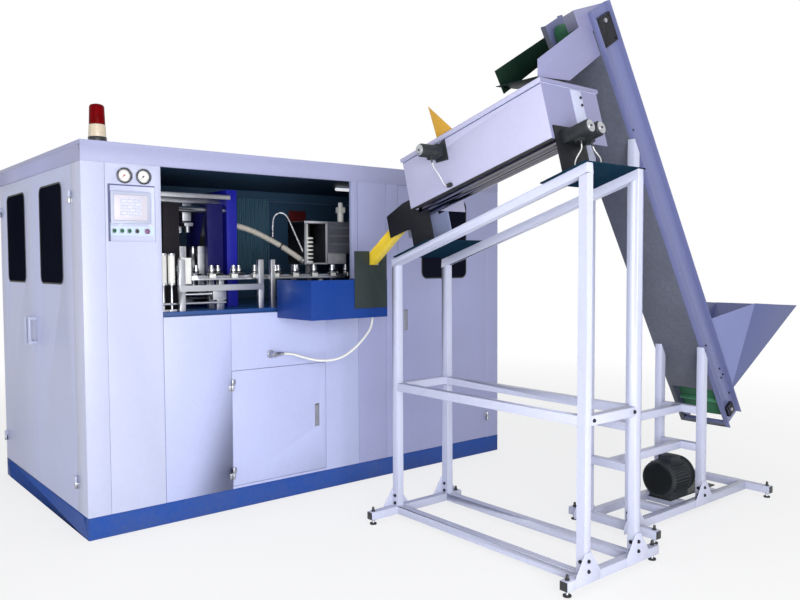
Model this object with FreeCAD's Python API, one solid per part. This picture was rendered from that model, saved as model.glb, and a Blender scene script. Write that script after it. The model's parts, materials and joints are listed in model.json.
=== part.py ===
"""Stretch blow moulding machine with its preform feeder and inclined elevator.

All sizes are millimetres.  The machine is drawn from the front left corner of
the cabinet at floor level: X runs right along the front, Y runs back into the
cabinet and Z is up.  The feeder stands in front of the cabinet and the elevator
to its right.  At the end every piece is moved so that the row's origin is the
floor point under the middle of the cabinet.
"""
import FreeCAD
import Part
import math
import os

V = FreeCAD.Vector
X_AXIS = V(1, 0, 0)
Y_AXIS = V(0, 1, 0)
Z_AXIS = V(0, 0, 1)

# ---------------------------------------------------------------- cabinet sizes
CAB_W = 3250.0            # overall width, X
CAB_D = 1815.0            # overall depth, Y
CAB_H = 2200.0            # top of the roof
PLINTH_H = 120.0          # base frame height
PLINTH_BAR = 90.0         # width of a base frame beam
FLOOR_T = 6.0             # deck plate over the base frame
ROOF_T = 25.0             # folded roof tray
HEADER_H = 90.0           # folded header band under the roof
SHEET = 2.0               # sheet metal of panels and doors
PANEL_D = 28.0            # depth of a folded panel
SEAM = 3.0                # gap between neighbouring panels
CORNER_R = 45.0           # corner radius of the windows
CLEAR = 0.3               # clearance between pieces that only lie close
RUN_FIT = 0.05            # radial running fit of a shaft or a hinge pin

FRONT_POST_X = 127.0      # corner post seen on the front
FRONT_POST_Y = 175.0      # and on the left end
REAR_POST = 28.0          # rear post seen on the left end
POST_LEG = 60.0           # other legs of the rear and right posts
RIGHT_POST_X = 128.0      # right corner post
CONTROL_W = 320.0         # control column
OPEN_X1 = 1800.0          # right edge of the large working opening
SILL_Z = 1214.0           # lower edge of the working opening
PILLAR_W = 50.0           # white strip beside the opening
FIXED_X = (1850.0, 2100.0, 2209.0)   # seams of the two fixed front panels
RIGHT_DOOR_X1 = CAB_W - RIGHT_POST_X   # hinge side of the right front door
LEFT_SPLIT_Y = 985.0      # where the two left doors meet

WIN_Z0 = 1415.0           # windows of the doors
WIN_Z1 = 1995.0
WIN_LEFT_W = 452.0
WIN_RIGHT_W = 448.0
PANE_T = 5.0
PANE_LAP = 18.0           # how far a pane laps the sheet round its window

HATCH_X = (880.0, 1572.0)
HATCH_Z = (144.0, 860.0)

LOCK_W = 34.0             # flush lever lock
LOCK_H = 150.0
LOCK_DEPTH = 14.0
DOOR_LOCK = (2280.0, 1111.0)
HATCH_LOCK = (1502.0, 513.0)

HINGE_R = 9.0             # lift-off hinge knuckle
HINGE_PIN_R = 4.5
HINGE_H = 70.0
HINGE_OUT = 9.5           # pin axis in front of the sheet
LEAF_W = 24.0
LEAF_T = 3.0
DOOR_HINGE_Z = (259.0, 1866.0)
HATCH_HINGE_Z = (190.0, 740.0)

HANDLE_L = 176.0          # D pull handle
HANDLE_R = 11.0
HANDLE_OUT = 42.0
HANDLE_Z = 1020.0
HANDLE_INSET = 45.0

# --------------------------------------------------------- controls and beacon
GAUGE_X = (237.0, 346.0)
GAUGE_Z = 2019.0
GAUGE_R = 44.0
GAUGE_HOLE_R = 36.0
GAUGE_OUT = 12.0          # bezel in front of the panel
GAUGE_BACK = 32.0
NEEDLE_L = 26.0
HMI_X = (143.0, 413.0)
HMI_Z = (1651.0, 1970.0)
HMI_RECESS = 14.0
SCREEN_X = (160.0, 388.0)
SCREEN_Z = (1752.0, 1931.0)
BUTTON_Z = 1711.0
BUTTON_X = (179.0, 222.0, 264.0, 308.0, 367.0)
BUTTON_R = (11.0, 11.0, 11.0, 11.0, 15.0)
BUTTON_OUT = 9.0
BUTTON_TRAVEL = 4.0
BEACON_XY = (125.0, 92.0)
BEACON_R = 50.0
BEACON_BASE_H = 30.0
BEACON_RING_H = 70.0
BEACON_DOME_H = 115.0

# ------------------------------------------------------------------ inner works
BED_X = (250.0, 2350.0)
BED_Y = (60.0, 1450.0)
BED_TOP = 1240.0
BED_T = 60.0
BED_LEG = 100.0
CLAMP_MID_X = 818.0       # parting plane of the mould
CLAMP_Y = (380.0, 700.0)
FIXED_PLATEN_X = 235.0    # inner face of a fixed platen from the parting plane
FIXED_PLATEN_T = 74.0
MOVING_PLATEN_T = 108.0
CLAMP_STROKE = 39.5       # travel of each mould half
MOULD_FACE_X = CLAMP_MID_X + CLAMP_STROKE + CLEAR   # parting face of the right half
MOULD_T = 57.0
MOULD_Z = (1330.0, 1640.0)
PLATEN_TOP = 1915.0
FIXED_TOP = 2015.0
TIE_R = 20.0
TIE_Y = (425.0, 655.0)
TIE_Z = (1290.0, 1880.0)
CAVITY_Y = (480.0, 600.0)
BEAM_H = 32.0
STRETCH_TRAVEL = 90.0
TRACK_Y = 150.0           # near straight of the preform chain
TRACK_X = (750.0, 1800.0)  # centres of the two chain wheels
TRACK_R = 100.0           # half the width of the chain loop
TRACK_Z = 1436.0          # top of the track table
TRACK_T = 12.0
CHAIN_W = 8.0
CHAIN_H = 14.0
CARRIERS = 18
GANTRY_X = (580.0, 1146.0)  # aluminium gantry on the bed's front edge
GANTRY_Y = (64.0, 94.0)
GANTRY_Z = (1396.0, 1551.0)
CYLINDER_X = (500.0, 552.0)
CYLINDER_Y = 120.0
VALVE_Y = 120.0
OVEN_X = (1608.0, 1802.0, 2030.0)
OVEN_Y = (300.0, 520.0)
OVEN_Z = (TRACK_Z + 84.0, TRACK_Z + 389.0)
DISCS = 7
DISC_R = 46.0
DISC_T = 14.0
DISC_PITCH = 28.0

# ------------------------------------------------------------- infeed of the cabinet
TROUGH_X = (1205.0, 1790.0)
TROUGH_Y = 400.0          # how far it stands in front of the cabinet
TROUGH_Z = (1178.0, 1421.0)
TROUGH_T = 3.0
GUARD_X = (1526.0, 1784.0)
GUARD_Z = (1239.0, 1600.0)
GUARD_T = 4.0
HOSE_R = 8.0
HOSE_WALL = 2.0
HOSE_FIT_R = 14.0

# --------------------------------------------------------------------- feeder
TUBE = 46.0               # square tube of both stands
FOOT_H = 30.0             # clear height under the base rails
FOOT_R = 20.0
STEM_R = 7.0
POST_X = (1560.0, 1960.0)
POST_Y = (-783.0, -2140.0)
RAIL_LOW_Z = 1552.0       # top of the inclined rails over the low posts
RAIL_HIGH_Z = 1966.0      # and over the high posts
FEEDER_FOOT_X = ((1345.0, 2060.0), (1415.0, 2150.0))   # low and high foot bars
MID_RAIL_Z = 790.0
DECK_T = 6.0
FEED_TILT = 15.0          # degrees
FEED_Y = -860.0           # reference point on the roller axis
FEED_Z = 1820.0
ROLLER_MID_X = 1681.0
ROLLER_R = 24.0
ROLLER_GAP = 34.0         # the preforms hang in this gap
ROLLER_SHAFT_R = 8.0
BIN_X = (1550.0, 1984.0)
BIN_RUN = (65.0, 1130.0)
BIN_LOW = -5.0
BIN_HIGH = 300.0
BIN_T = 3.0
RIM = 8.0
RIM_H = 20.0
SKIRT_LOW = 250.0         # the far wall is open under this height
BRACKET_T = 8.0
CHEEK_T = 6.0
CHEEK_GAP = 6.0           # beside the rollers
PADDLE_RUN = 388.0
PADDLE_UP = 213.0
PADDLE_R = 172.0
PADDLE_BLADES = 4
MOTOR_R = 36.0
MOTOR_L = 96.0
GEAR_L = 44.0
CAP_L = 12.0
CHUTE_ANGLE = 35.0
CHUTE_IN = 44.0
CHUTE_WALL = 3.0
CHUTE_DEPTH = 62.0
CHUTE_FLANGE = 9.0
CHUTE_L = 442.0
CHUTE_TOP = (-701.0, 1723.5)

# -------------------------------------------------------------------- elevator
ELEV_ANGLE = 58.0         # degrees from the floor
ELEV_X = 2080.0           # upper edge of the channels at the head
ELEV_Z = 2875.0
ELEV_L = 2740.0
ELEV_Y = (-1860.0, -1580.0)
ELEV_DEPTH = 165.0
CHANNEL_T = 3.0
CHANNEL_LIP = 32.0
PAN_RUN = (110.0, 2440.0)
PAN_T = 2.0
DRUM_R = 42.0
DRUM_RUN = (78.0, 2655.0)
DRUM_SHAFT_R = 12.0
BELT_T = 3.0
BELT_EDGE = 10.0          # belt edge to channel web
CLEAT_H = 26.0
CLEAT_T = 5.0
CLEATS = 12               # on each run of the belt
HEAD_BEARING = ((50.0, 204.0), (-147.0, -20.0))
TAIL_BEARING = ((2620.0, 2690.0), (-117.0, -47.0))
BEARING_T = 22.0
HOPPER_T = 3.0
STAND_LEFT_X = 2335.0
STAND_RIGHT_X = 3075.0
STAND_END_X = 3628.0
STAND_Y = (-1870.0, -1585.0)
STAND_FOOT_Y = (-2045.0, -1463.0)
STAND_RAIL_Z = (383.0, 613.0)
STAND_BAR_X = (2740.0, 2925.0, 3290.0)   # cross bars of the base
DRIVE_R = 105.0
DRIVE_X = (2830.0, 3075.0)
SLIDE_X = (2850.0, 3370.0)   # slide plate under the base motor
SLIDE_T = 8.0

ORIGIN_SHIFT = V(-CAB_W / 2, -CAB_D / 2, 0)
OUT_DIR = "parts"


# ------------------------------------------------------------------ small tools
def box(x, y, z):
    """Box from three (low, high) pairs."""
    return Part.makeBox(x[1] - x[0], y[1] - y[0], z[1] - z[0], V(x[0], y[0], z[0]))


def rod(start, direction, radius, length):
    return Part.makeCylinder(radius, length, start, direction)


def prism(points, depth):
    """Straight prism on a closed polygon, pushed along the vector depth."""
    return Part.Face(Part.makePolygon(points + points[:1])).extrude(depth)


def side_prism(points, x):
    """Prism from (y, z) points between the two X values."""
    return prism([V(x[0], y, z) for y, z in points], V(x[1] - x[0], 0, 0))


def front_prism(points, y):
    """Prism from (x, z) points between the two Y values."""
    return prism([V(x, y[0], z) for x, z in points], V(0, y[1] - y[0], 0))


def rounded(x, z, y, radius):
    """Block with rounded corners in the XZ plane."""
    block = box(x, y, z)
    edges = [e for e in block.Edges if abs(e.Vertexes[0].Y - e.Vertexes[-1].Y) > 1e-6]
    return block.makeFillet(radius, edges)


def join(shapes):
    """One solid from touching shapes."""
    body = shapes[0].fuse(shapes[1:])
    return body.removeSplitter()


def group(shapes):
    """Separate solids that share one node."""
    solids = []
    for shape in shapes:
        solids.extend(shape.Solids)
    return Part.makeCompound(solids)


def moved(shape, vector):
    copy = shape.copy()
    copy.translate(vector)
    return copy


def turned(shape, centre, axis, angle):
    copy = shape.copy()
    copy.rotate(centre, axis, angle)
    return copy


# --------------------------------------------------- the three working frames
# A panel is drawn as seen on the front: x along it, z up, y from 0 inwards.
def on_front(shape, x, z):
    return moved(shape, V(x, 0, z))


def on_left(shape, y_end, z):
    """x of the panel runs from y_end towards the front."""
    return moved(turned(shape, V(), Z_AXIS, -90), V(0, y_end, z))


def on_right(shape, y_start, z):
    return moved(turned(shape, V(), Z_AXIS, 90), V(CAB_W, y_start, z))


def on_rear(shape, x_end, z):
    return moved(turned(shape, V(), Z_AXIS, 180), V(x_end, CAB_D, z))


# The feeder is drawn level: y = -run, z = height over the roller axes.
def feeder(shape):
    return moved(turned(shape, V(), X_AXIS, -FEED_TILT), V(0, FEED_Y, FEED_Z))


# The elevator is drawn lying down: x = way down the slope, z = out of the belt.
def elevator(shape):
    return moved(turned(shape, V(), Y_AXIS, ELEV_ANGLE), V(ELEV_X, 0, ELEV_Z))


def elevator_point(run, out):
    angle = math.radians(ELEV_ANGLE)
    return (ELEV_X + run * math.cos(angle) + out * math.sin(angle),
            ELEV_Z - run * math.sin(angle) + out * math.cos(angle))


def rail_top(y):
    """Height of the top of the inclined rails at depth y."""
    share = (POST_Y[0] - y) / (POST_Y[0] - POST_Y[1])
    return RAIL_LOW_Z + share * (RAIL_HIGH_Z - RAIL_LOW_Z)


# ------------------------------------------------------------- panels and doors
def pan(width, height, window=None):
    """Folded panel: a sheet with its four edges turned in."""
    sheet = box((0, width), (0, PANEL_D), (0, height))
    inner = box((SHEET, width - SHEET), (SHEET, PANEL_D), (SHEET, height - SHEET))
    body = sheet.cut(inner)
    if window:
        x, z = window
        body = body.cut(rounded(x, z, (-1, SHEET + 1), CORNER_R))
    return body


def pane(window):
    x, z = window
    return box((x[0] - PANE_LAP, x[1] + PANE_LAP), (SHEET, SHEET + PANE_T),
               (z[0] - PANE_LAP, z[1] + PANE_LAP))


def corner_post(x_leg, y_leg, height):
    """Folded corner post, its outer corner at the origin."""
    points = [V(0, 0, 0), V(x_leg, 0, 0), V(x_leg, PANEL_D, 0), V(PANEL_D, PANEL_D, 0),
              V(PANEL_D, y_leg, 0), V(0, y_leg, 0)]
    return prism(points, V(0, 0, height))


def lock_pocket(x, z):
    """Pressed pocket behind a flush lever: its hollow and its wall."""
    half = LOCK_W / 2
    hollow = box((x - half, x + half), (-1, LOCK_DEPTH), (z - LOCK_H / 2, z + LOCK_H / 2))
    wall = box((x - half - SHEET, x + half + SHEET), (SHEET, LOCK_DEPTH + SHEET),
               (z - LOCK_H / 2 - SHEET, z + LOCK_H / 2 + SHEET))
    return hollow, wall


def lock_pin_points(x, z):
    top = z + LOCK_H / 2 - 12
    return V(x - LOCK_W / 2, LOCK_DEPTH / 2, top), V(x + LOCK_W / 2, LOCK_DEPTH / 2, top)


LEVER_PIN_R = 3.0


def with_lock(body, x, z):
    hollow, wall = lock_pocket(x, z)
    left, right = lock_pin_points(x, z)
    pin = rod(left, X_AXIS, LEVER_PIN_R, right.x - left.x)
    return join([body, wall]).cut(hollow).fuse(pin)


def lever(x, z):
    """Flush lever hung on the pin across the top of its pocket."""
    left, _ = lock_pin_points(x, z)
    half = LOCK_W / 2 - 2
    arm = box((x - half, x + half), (1.0, LOCK_DEPTH - 2), (z - LOCK_H / 2 + 2, left.z))
    eye = rod(V(x - half, left.y, left.z), X_AXIS, LEVER_PIN_R + 3, 2 * half)
    bore = rod(V(x - half - 1, left.y, left.z), X_AXIS, LEVER_PIN_R + RUN_FIT, 2 * half + 2)
    scoop = box((x - half + 5, x + half - 5), (0, 5), (z - LOCK_H / 2 + 12, z - LOCK_H / 2 + 60))
    return join([arm, eye]).cut(bore).cut(scoop)


# A hinge is drawn on the front, its pin axis at x, the door to the left (-1) or
# right (+1) of it.  The lower knuckle and the pin are fixed, the upper one turns.
def hinge_fixed(x, z, door_side):
    axis = V(x, -HINGE_OUT, z)
    half = HINGE_H / 2
    knuckle = rod(axis, Z_AXIS, HINGE_R, half - 0.5)
    pin = rod(axis, Z_AXIS, HINGE_PIN_R, HINGE_H)
    edge = sorted((x - door_side * 2.0, x - door_side * LEAF_W))
    leaf = box(edge, (-LEAF_T, 0), (z, z + half - 0.5))
    bridge = box(sorted((x - door_side * 2.0, x - door_side * 7.0)), (-HINGE_OUT, 0),
                 (z, z + half - 0.5))
    return join([knuckle, leaf, bridge, pin])


def hinge_moving(x, z, door_side):
    half = HINGE_H / 2
    axis = V(x, -HINGE_OUT, z + half)
    knuckle = rod(axis, Z_AXIS, HINGE_R, half)
    edge = sorted((x + door_side * 4.0, x + door_side * LEAF_W))
    leaf = box(edge, (-LEAF_T, 0), (z + half, z + HINGE_H))
    bridge = box(sorted((x + door_side * 4.0, x + door_side * 8.0)), (-HINGE_OUT, 0),
                 (z + half, z + HINGE_H))
    bore = rod(axis - Z_AXIS, Z_AXIS, HINGE_PIN_R + RUN_FIT, half + 2)
    return join([knuckle, leaf, bridge]).cut(bore)


def pull_handle(x):
    """D handle: a bar on two end blocks, drawn on the front."""
    bar = rod(V(x, -HANDLE_OUT, HANDLE_Z), Z_AXIS, HANDLE_R, HANDLE_L)
    feet = [box((x - HANDLE_R, x + HANDLE_R), (-HANDLE_OUT, 0), (z, z + 2 * HANDLE_R))
            for z in (HANDLE_Z, HANDLE_Z + HANDLE_L - 2 * HANDLE_R)]
    return join([bar] + feet)


WALL_Z = PLINTH_H + FLOOR_T
WALL_TOP = CAB_H - ROOF_T - HEADER_H
WALL_H = WALL_TOP - WALL_Z


def base_frame():
    """Ring of beams with cross beams, and the deck plate on top."""
    pitch_count = 9
    parts = [box((0, CAB_W), (0, PLINTH_BAR), (0, PLINTH_H)),
             box((0, CAB_W), (CAB_D - PLINTH_BAR, CAB_D), (0, PLINTH_H))]
    step = (CAB_W - PLINTH_BAR) / (pitch_count - 1)
    for index in range(pitch_count):
        x = index * step
        parts.append(box((x, x + PLINTH_BAR), (PLINTH_BAR, CAB_D - PLINTH_BAR), (0, PLINTH_H)))
    parts.append(box((0, CAB_W), (0, CAB_D), (PLINTH_H, WALL_Z)))
    return group(parts)


def corner_posts():
    height = WALL_TOP - WALL_Z
    front_left = corner_post(FRONT_POST_X, FRONT_POST_Y, height)
    rear_left = turned(corner_post(REAR_POST, POST_LEG, height), V(), Z_AXIS, -90)
    rear_right = turned(corner_post(POST_LEG, POST_LEG, height), V(), Z_AXIS, 180)
    front_right = turned(corner_post(POST_LEG, RIGHT_POST_X, height), V(), Z_AXIS, 90)
    return group([moved(front_left, V(0, 0, WALL_Z)), moved(rear_left, V(0, CAB_D, WALL_Z)),
                  moved(rear_right, V(CAB_W, CAB_D, WALL_Z)),
                  moved(front_right, V(CAB_W, 0, WALL_Z))])


def roof_and_headers():
    low = WALL_TOP
    high = CAB_H - ROOF_T
    parts = [box((0, CAB_W), (0, PANEL_D), (low, high)),
             box((0, CAB_W), (CAB_D - PANEL_D, CAB_D), (low, high)),
             box((0, PANEL_D), (PANEL_D, CAB_D - PANEL_D), (low, high)),
             box((CAB_W - PANEL_D, CAB_W), (PANEL_D, CAB_D - PANEL_D), (low, high)),
             box((0, CAB_W), (0, CAB_D), (high, CAB_H))]
    return group(parts)


def control_panel():
    width = CONTROL_W - SEAM
    body = pan(width, WALL_H)
    x0 = FRONT_POST_X + SEAM / 2
    z0 = WALL_Z
    x = (HMI_X[0] - x0, HMI_X[1] - x0)
    z = (HMI_Z[0] - z0, HMI_Z[1] - z0)
    tray = box((x[0] - SHEET, x[1] + SHEET), (SHEET, HMI_RECESS + SHEET),
               (z[0] - SHEET, z[1] + SHEET))
    body = join([body, tray]).cut(box(x, (-1, HMI_RECESS), z))
    cuts = []
    for gauge_x in GAUGE_X:
        cuts.append(rod(V(gauge_x - x0, -1, GAUGE_Z - z0), Y_AXIS, GAUGE_HOLE_R, PANEL_D))
    for button_x, radius in zip(BUTTON_X, BUTTON_R):
        cuts.append(rod(V(button_x - x0, -1, BUTTON_Z - z0), Y_AXIS, radius - 3 + CLEAR, PANEL_D))
    return on_front(body.cut(cuts), x0, z0)


def lower_front_panels():
    """Four folded panels that frame the hatch: under it, over it and beside it."""
    x = (FRONT_POST_X + CONTROL_W + SEAM / 2, HATCH_X[0] - SEAM, HATCH_X[1] + SEAM,
         FIXED_X[0] - SEAM / 2)
    z = (WALL_Z, HATCH_Z[0] - SEAM, HATCH_Z[1] + SEAM, SILL_Z)
    return [on_front(pan(x[1] - x[0], z[3] - z[0]), x[0], z[0]),
            on_front(pan(x[3] - x[2], z[3] - z[0]), x[2], z[0]),
            on_front(pan(x[2] - x[1], z[1] - z[0]), x[1], z[0]),
            on_front(pan(x[2] - x[1], z[3] - z[2]), x[1], z[2])]


def front_panels():
    z0 = WALL_Z
    pillar = box((OPEN_X1, OPEN_X1 + PILLAR_W - SEAM), (0, PANEL_D), (SILL_Z, WALL_TOP))
    parts = lower_front_panels() + [pillar, hose_fitting()]
    for low, high in zip(FIXED_X[:-1], FIXED_X[1:]):
        parts.append(on_front(pan(high - low - SEAM, WALL_H), low + SEAM / 2, z0))
    return group(parts)


def rear_panels():
    """Four rear panels, one with a window, and three panels of the right end."""
    z0 = WALL_Z
    height = WALL_H
    count = 4
    width = (CAB_W - 2 * POST_LEG) / count
    window = (((width - WIN_LEFT_W) / 2, (width + WIN_LEFT_W) / 2), (WIN_Z0 - z0, WIN_Z1 - z0))
    parts = []
    for index in range(count):
        body = pan(width - SEAM, height, window if index == 0 else None)
        parts.append(on_rear(body, CAB_W - POST_LEG - SEAM / 2 - index * width, z0))
    parts.append(on_rear(pane(window), CAB_W - POST_LEG - SEAM / 2, z0))
    run = CAB_D / 2 - POST_LEG
    for index in range(2):
        body = pan(run - SEAM, height)
        parts.append(on_right(body, POST_LEG + SEAM / 2 + index * run, z0))
    return group(parts)


LEFT_DOORS = {"front": (FRONT_POST_Y, LEFT_SPLIT_Y), "rear": (LEFT_SPLIT_Y, CAB_D - REAR_POST)}


def left_door(which):
    """A left door, drawn on the front: x = 0 is its rear edge."""
    low, high = LEFT_DOORS[which]
    width = high - low - SEAM
    z0 = WALL_Z + SEAM / 2
    window = (((width - WIN_LEFT_W) / 2, (width + WIN_LEFT_W) / 2), (WIN_Z0 - z0, WIN_Z1 - z0))
    hinge_x = width + SEAM / 2 if which == "front" else -SEAM / 2
    handle_x = HANDLE_INSET if which == "front" else width - HANDLE_INSET
    side = -1 if which == "front" else 1
    leaves = [hinge_moving(hinge_x, z - z0, side) for z in DOOR_HINGE_Z]
    handle = moved(pull_handle(handle_x), V(0, 0, -z0))
    pieces = [pan(width, WALL_H - SEAM, window), handle] + leaves
    place = (high - SEAM / 2, z0)
    fixed = [on_left(hinge_fixed(hinge_x, z - z0, side), *place) for z in DOOR_HINGE_Z]
    return on_left(group(pieces), *place), on_left(pane(window), *place), fixed


def right_door():
    low, high = FIXED_X[2], RIGHT_DOOR_X1
    width = high - low - SEAM
    z0 = WALL_Z + SEAM / 2
    x0 = low + SEAM / 2
    middle = width / 2
    window = ((middle - WIN_RIGHT_W / 2, middle + WIN_RIGHT_W / 2), (WIN_Z0 - z0, WIN_Z1 - z0))
    body = with_lock(pan(width, WALL_H - SEAM, window), DOOR_LOCK[0] - x0, DOOR_LOCK[1] - z0)
    hinge_x = width + SEAM / 2
    body = group([body] + [hinge_moving(hinge_x, z - z0, -1) for z in DOOR_HINGE_Z])
    fixed = [on_front(hinge_fixed(hinge_x, z - z0, -1), x0, z0) for z in DOOR_HINGE_Z]
    return on_front(body, x0, z0), on_front(pane(window), x0, z0), fixed


def hatch_door():
    x0, z0 = HATCH_X[0], HATCH_Z[0]
    body = pan(HATCH_X[1] - x0, HATCH_Z[1] - z0)
    body = with_lock(body, HATCH_LOCK[0] - x0, HATCH_LOCK[1] - z0)
    hinge_x = -SEAM / 2
    body = group([body] + [hinge_moving(hinge_x, z - z0, 1) for z in HATCH_HINGE_Z])
    fixed = [on_front(hinge_fixed(hinge_x, z - z0, 1), x0, z0) for z in HATCH_HINGE_Z]
    return on_front(body, x0, z0), fixed


# ------------------------------------------------------------------- controls
def gauge(x):
    """Case with a turned bezel, and the dial plate on a step inside it."""
    profile = [V(0, GAUGE_BACK, 0), V(GAUGE_HOLE_R - 1, GAUGE_BACK, 0),
               V(GAUGE_HOLE_R - 1, 0, 0), V(GAUGE_R, 0, 0), V(GAUGE_R, 3 - GAUGE_OUT, 0),
               V(GAUGE_R - 3, -GAUGE_OUT, 0), V(GAUGE_R - 8, -GAUGE_OUT, 0),
               V(GAUGE_R - 10, 4 - GAUGE_OUT, 0), V(GAUGE_R - 10, 4, 0), V(0, 4, 0)]
    case = Part.Face(Part.makePolygon(profile + profile[:1])).revolve(V(), Y_AXIS, 360)
    dial = rod(V(0, 3, 0), Y_AXIS, GAUGE_R - 10, 1)
    boss = rod(V(0, 0, 0), Y_AXIS, 2.5, 3)
    return [moved(shape, V(x, 0, GAUGE_Z)) for shape in (case, join([dial, boss]))]


def needle(x):
    """Pointer on the dial's boss, at rest at the low end of the scale."""
    arm = prism([V(-8, 0, -2), V(NEEDLE_L, 0, -0.6), V(NEEDLE_L, 0, 0.6), V(-8, 0, 2)], V(0, 1, 0))
    hub = rod(V(0, -1.5, 0), Y_AXIS, 4.5, 2.5)
    bore = rod(V(0, -0.2, 0), Y_AXIS, 2.5 + RUN_FIT, 2)
    body = moved(join([arm, hub]).cut(bore), V(0, 0, 0))
    return moved(turned(body, V(), Y_AXIS, 135), V(x, 0, GAUGE_Z))


def hmi_unit():
    """Screen unit with a raised frame on the floor of the recess, and the screen."""
    back = HMI_RECESS
    frame = rounded(SCREEN_X, SCREEN_Z, (back - 12, back), 8)
    inner_x = (SCREEN_X[0] + 18, SCREEN_X[1] - 18)
    inner_z = (SCREEN_Z[0] + 18, SCREEN_Z[1] - 18)
    frame = frame.cut(box(inner_x, (back - 13, back - 6), inner_z))
    screen = box((inner_x[0] + CLEAR, inner_x[1] - CLEAR), (back - 8, back - 6),
                 (inner_z[0] + CLEAR, inner_z[1] - CLEAR))
    return group([frame, screen])


def button(index):
    """Push button: cap, stem through the panel, and a stop collar behind it."""
    x, radius = BUTTON_X[index], BUTTON_R[index]
    back = HMI_RECESS
    cap = rod(V(x, back - BUTTON_OUT, BUTTON_Z), Y_AXIS, radius, BUTTON_OUT - BUTTON_TRAVEL - CLEAR)
    stem = rod(V(x, back - BUTTON_OUT, BUTTON_Z), Y_AXIS, radius - 3, BUTTON_OUT + SHEET + CLEAR)
    collar = rod(V(x, back + SHEET + CLEAR, BUTTON_Z), Y_AXIS, radius, 3)
    return join([cap, stem, collar])


def beacon():
    x, y = BEACON_XY
    base = rod(V(x, y, CAB_H), Z_AXIS, BEACON_R, BEACON_BASE_H)
    ring_z = CAB_H + BEACON_BASE_H
    ring = Part.makeCone(BEACON_R - 2, BEACON_R - 6, BEACON_RING_H, V(x, y, ring_z))
    dome_z = ring_z + BEACON_RING_H
    radius = BEACON_R - 7
    shoulder = BEACON_DOME_H - 16
    profile = [V(0, 0, 0), V(radius, 0, 0), V(radius - 3, 0, shoulder), V(radius - 9, 0, shoulder + 9),
               V(radius - 23, 0, shoulder + 14), V(0, 0, BEACON_DOME_H)]
    dome = Part.Face(Part.makePolygon(profile + profile[:1])).revolve(V(), Z_AXIS, 360)
    return group([base, ring]), moved(dome, V(x, y, dome_z))


# ----------------------------------------------------------------- inner works
def machine_bed():
    low = BED_TOP - BED_T
    parts = [box(BED_X, BED_Y, (low, BED_TOP))]
    for x in (BED_X[0] + 40, (BED_X[0] + BED_X[1] - BED_LEG) / 2, BED_X[1] - 40 - BED_LEG):
        for y in (BED_Y[0] + 40, BED_Y[1] - 40 - BED_LEG):
            parts.append(box((x, x + BED_LEG), (y, y + BED_LEG), (WALL_Z, low)))
    return group(parts)


FIXED_LEFT_X = CLAMP_MID_X - FIXED_PLATEN_X - FIXED_PLATEN_T
FIXED_RIGHT_X = CLAMP_MID_X + FIXED_PLATEN_X
PLATEN_X0 = MOULD_FACE_X + MOULD_T


def tie_holes(x, clearance):
    return [rod(V(x[0] - 1, y, z), X_AXIS, TIE_R + clearance, x[1] - x[0] + 2)
            for y in TIE_Y for z in TIE_Z]


def clamp_frame():
    """Two fixed platens, the top beam between them, and the four tie bars."""
    beam_z = PLATEN_TOP + 10
    parts = []
    for x0 in (FIXED_LEFT_X, FIXED_RIGHT_X):
        x = (x0, x0 + FIXED_PLATEN_T)
        parts.append(box(x, CLAMP_Y, (BED_TOP, FIXED_TOP)).cut(tie_holes(x, 0)))
    middle = sum(CLAMP_Y) / 2
    parts.append(box((FIXED_LEFT_X + FIXED_PLATEN_T, FIXED_RIGHT_X), (middle - 60, middle - 20),
                     (beam_z, beam_z + BEAM_H)))
    parts.append(box((FIXED_LEFT_X + FIXED_PLATEN_T, FIXED_RIGHT_X), (middle + 20, middle + 60),
                     (beam_z, beam_z + BEAM_H)))
    for y in TIE_Y:
        for z in TIE_Z:
            parts.append(rod(V(FIXED_LEFT_X, y, z), X_AXIS, TIE_R,
                             FIXED_RIGHT_X + FIXED_PLATEN_T - FIXED_LEFT_X))
    return group(parts)


def bottle_half(y, x_face):
    """Bottle shape about a vertical axis on the mould's parting face."""
    body_r, neck_r = 34.0, 16.0
    low = MOULD_Z[0] + 40
    high = MOULD_Z[1] + 1
    profile = [V(0, 0, low), V(body_r - 6, 0, low), V(body_r, 0, low + 8),
               V(body_r, 0, high - 100), V(neck_r, 0, high - 50), V(neck_r, 0, high), V(0, 0, high)]
    solid = Part.Face(Part.makePolygon(profile + profile[:1])).revolve(V(), Z_AXIS, 360)
    return moved(solid, V(x_face, y, 0))


def mould_half(side):
    """Right mould half with its moving platen; the left one is its mirror."""
    face = MOULD_FACE_X
    middle = sum(CLAMP_Y) / 2
    block = box((face, PLATEN_X0), (middle - 130, middle + 130), MOULD_Z)
    block = block.cut([bottle_half(y, face) for y in CAVITY_Y])
    x = (PLATEN_X0, PLATEN_X0 + MOVING_PLATEN_T)
    platen = box(x, CLAMP_Y, (BED_TOP + CLEAR, PLATEN_TOP)).cut(tie_holes(x, RUN_FIT))
    body = group([block, platen])
    if side == "left":
        body = body.mirror(V(CLAMP_MID_X, 0, 0), X_AXIS)
    return body


def stretch_unit():
    """Crosshead with two blow nozzles and stretch rods, on a piston rod."""
    middle = sum(CLAMP_Y) / 2
    low = MOULD_Z[1] + STRETCH_TRAVEL + 2
    parts = [box((CLAMP_MID_X - 30, CLAMP_MID_X + 30), (middle - 90, middle + 90), (low + 40, low + 62))]
    for y in CAVITY_Y:
        parts.append(rod(V(CLAMP_MID_X, y, low), Z_AXIS, 20, 40))
    parts.append(rod(V(CLAMP_MID_X, middle, low + 62), Z_AXIS, 8, 110))
    return join(parts)


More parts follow.
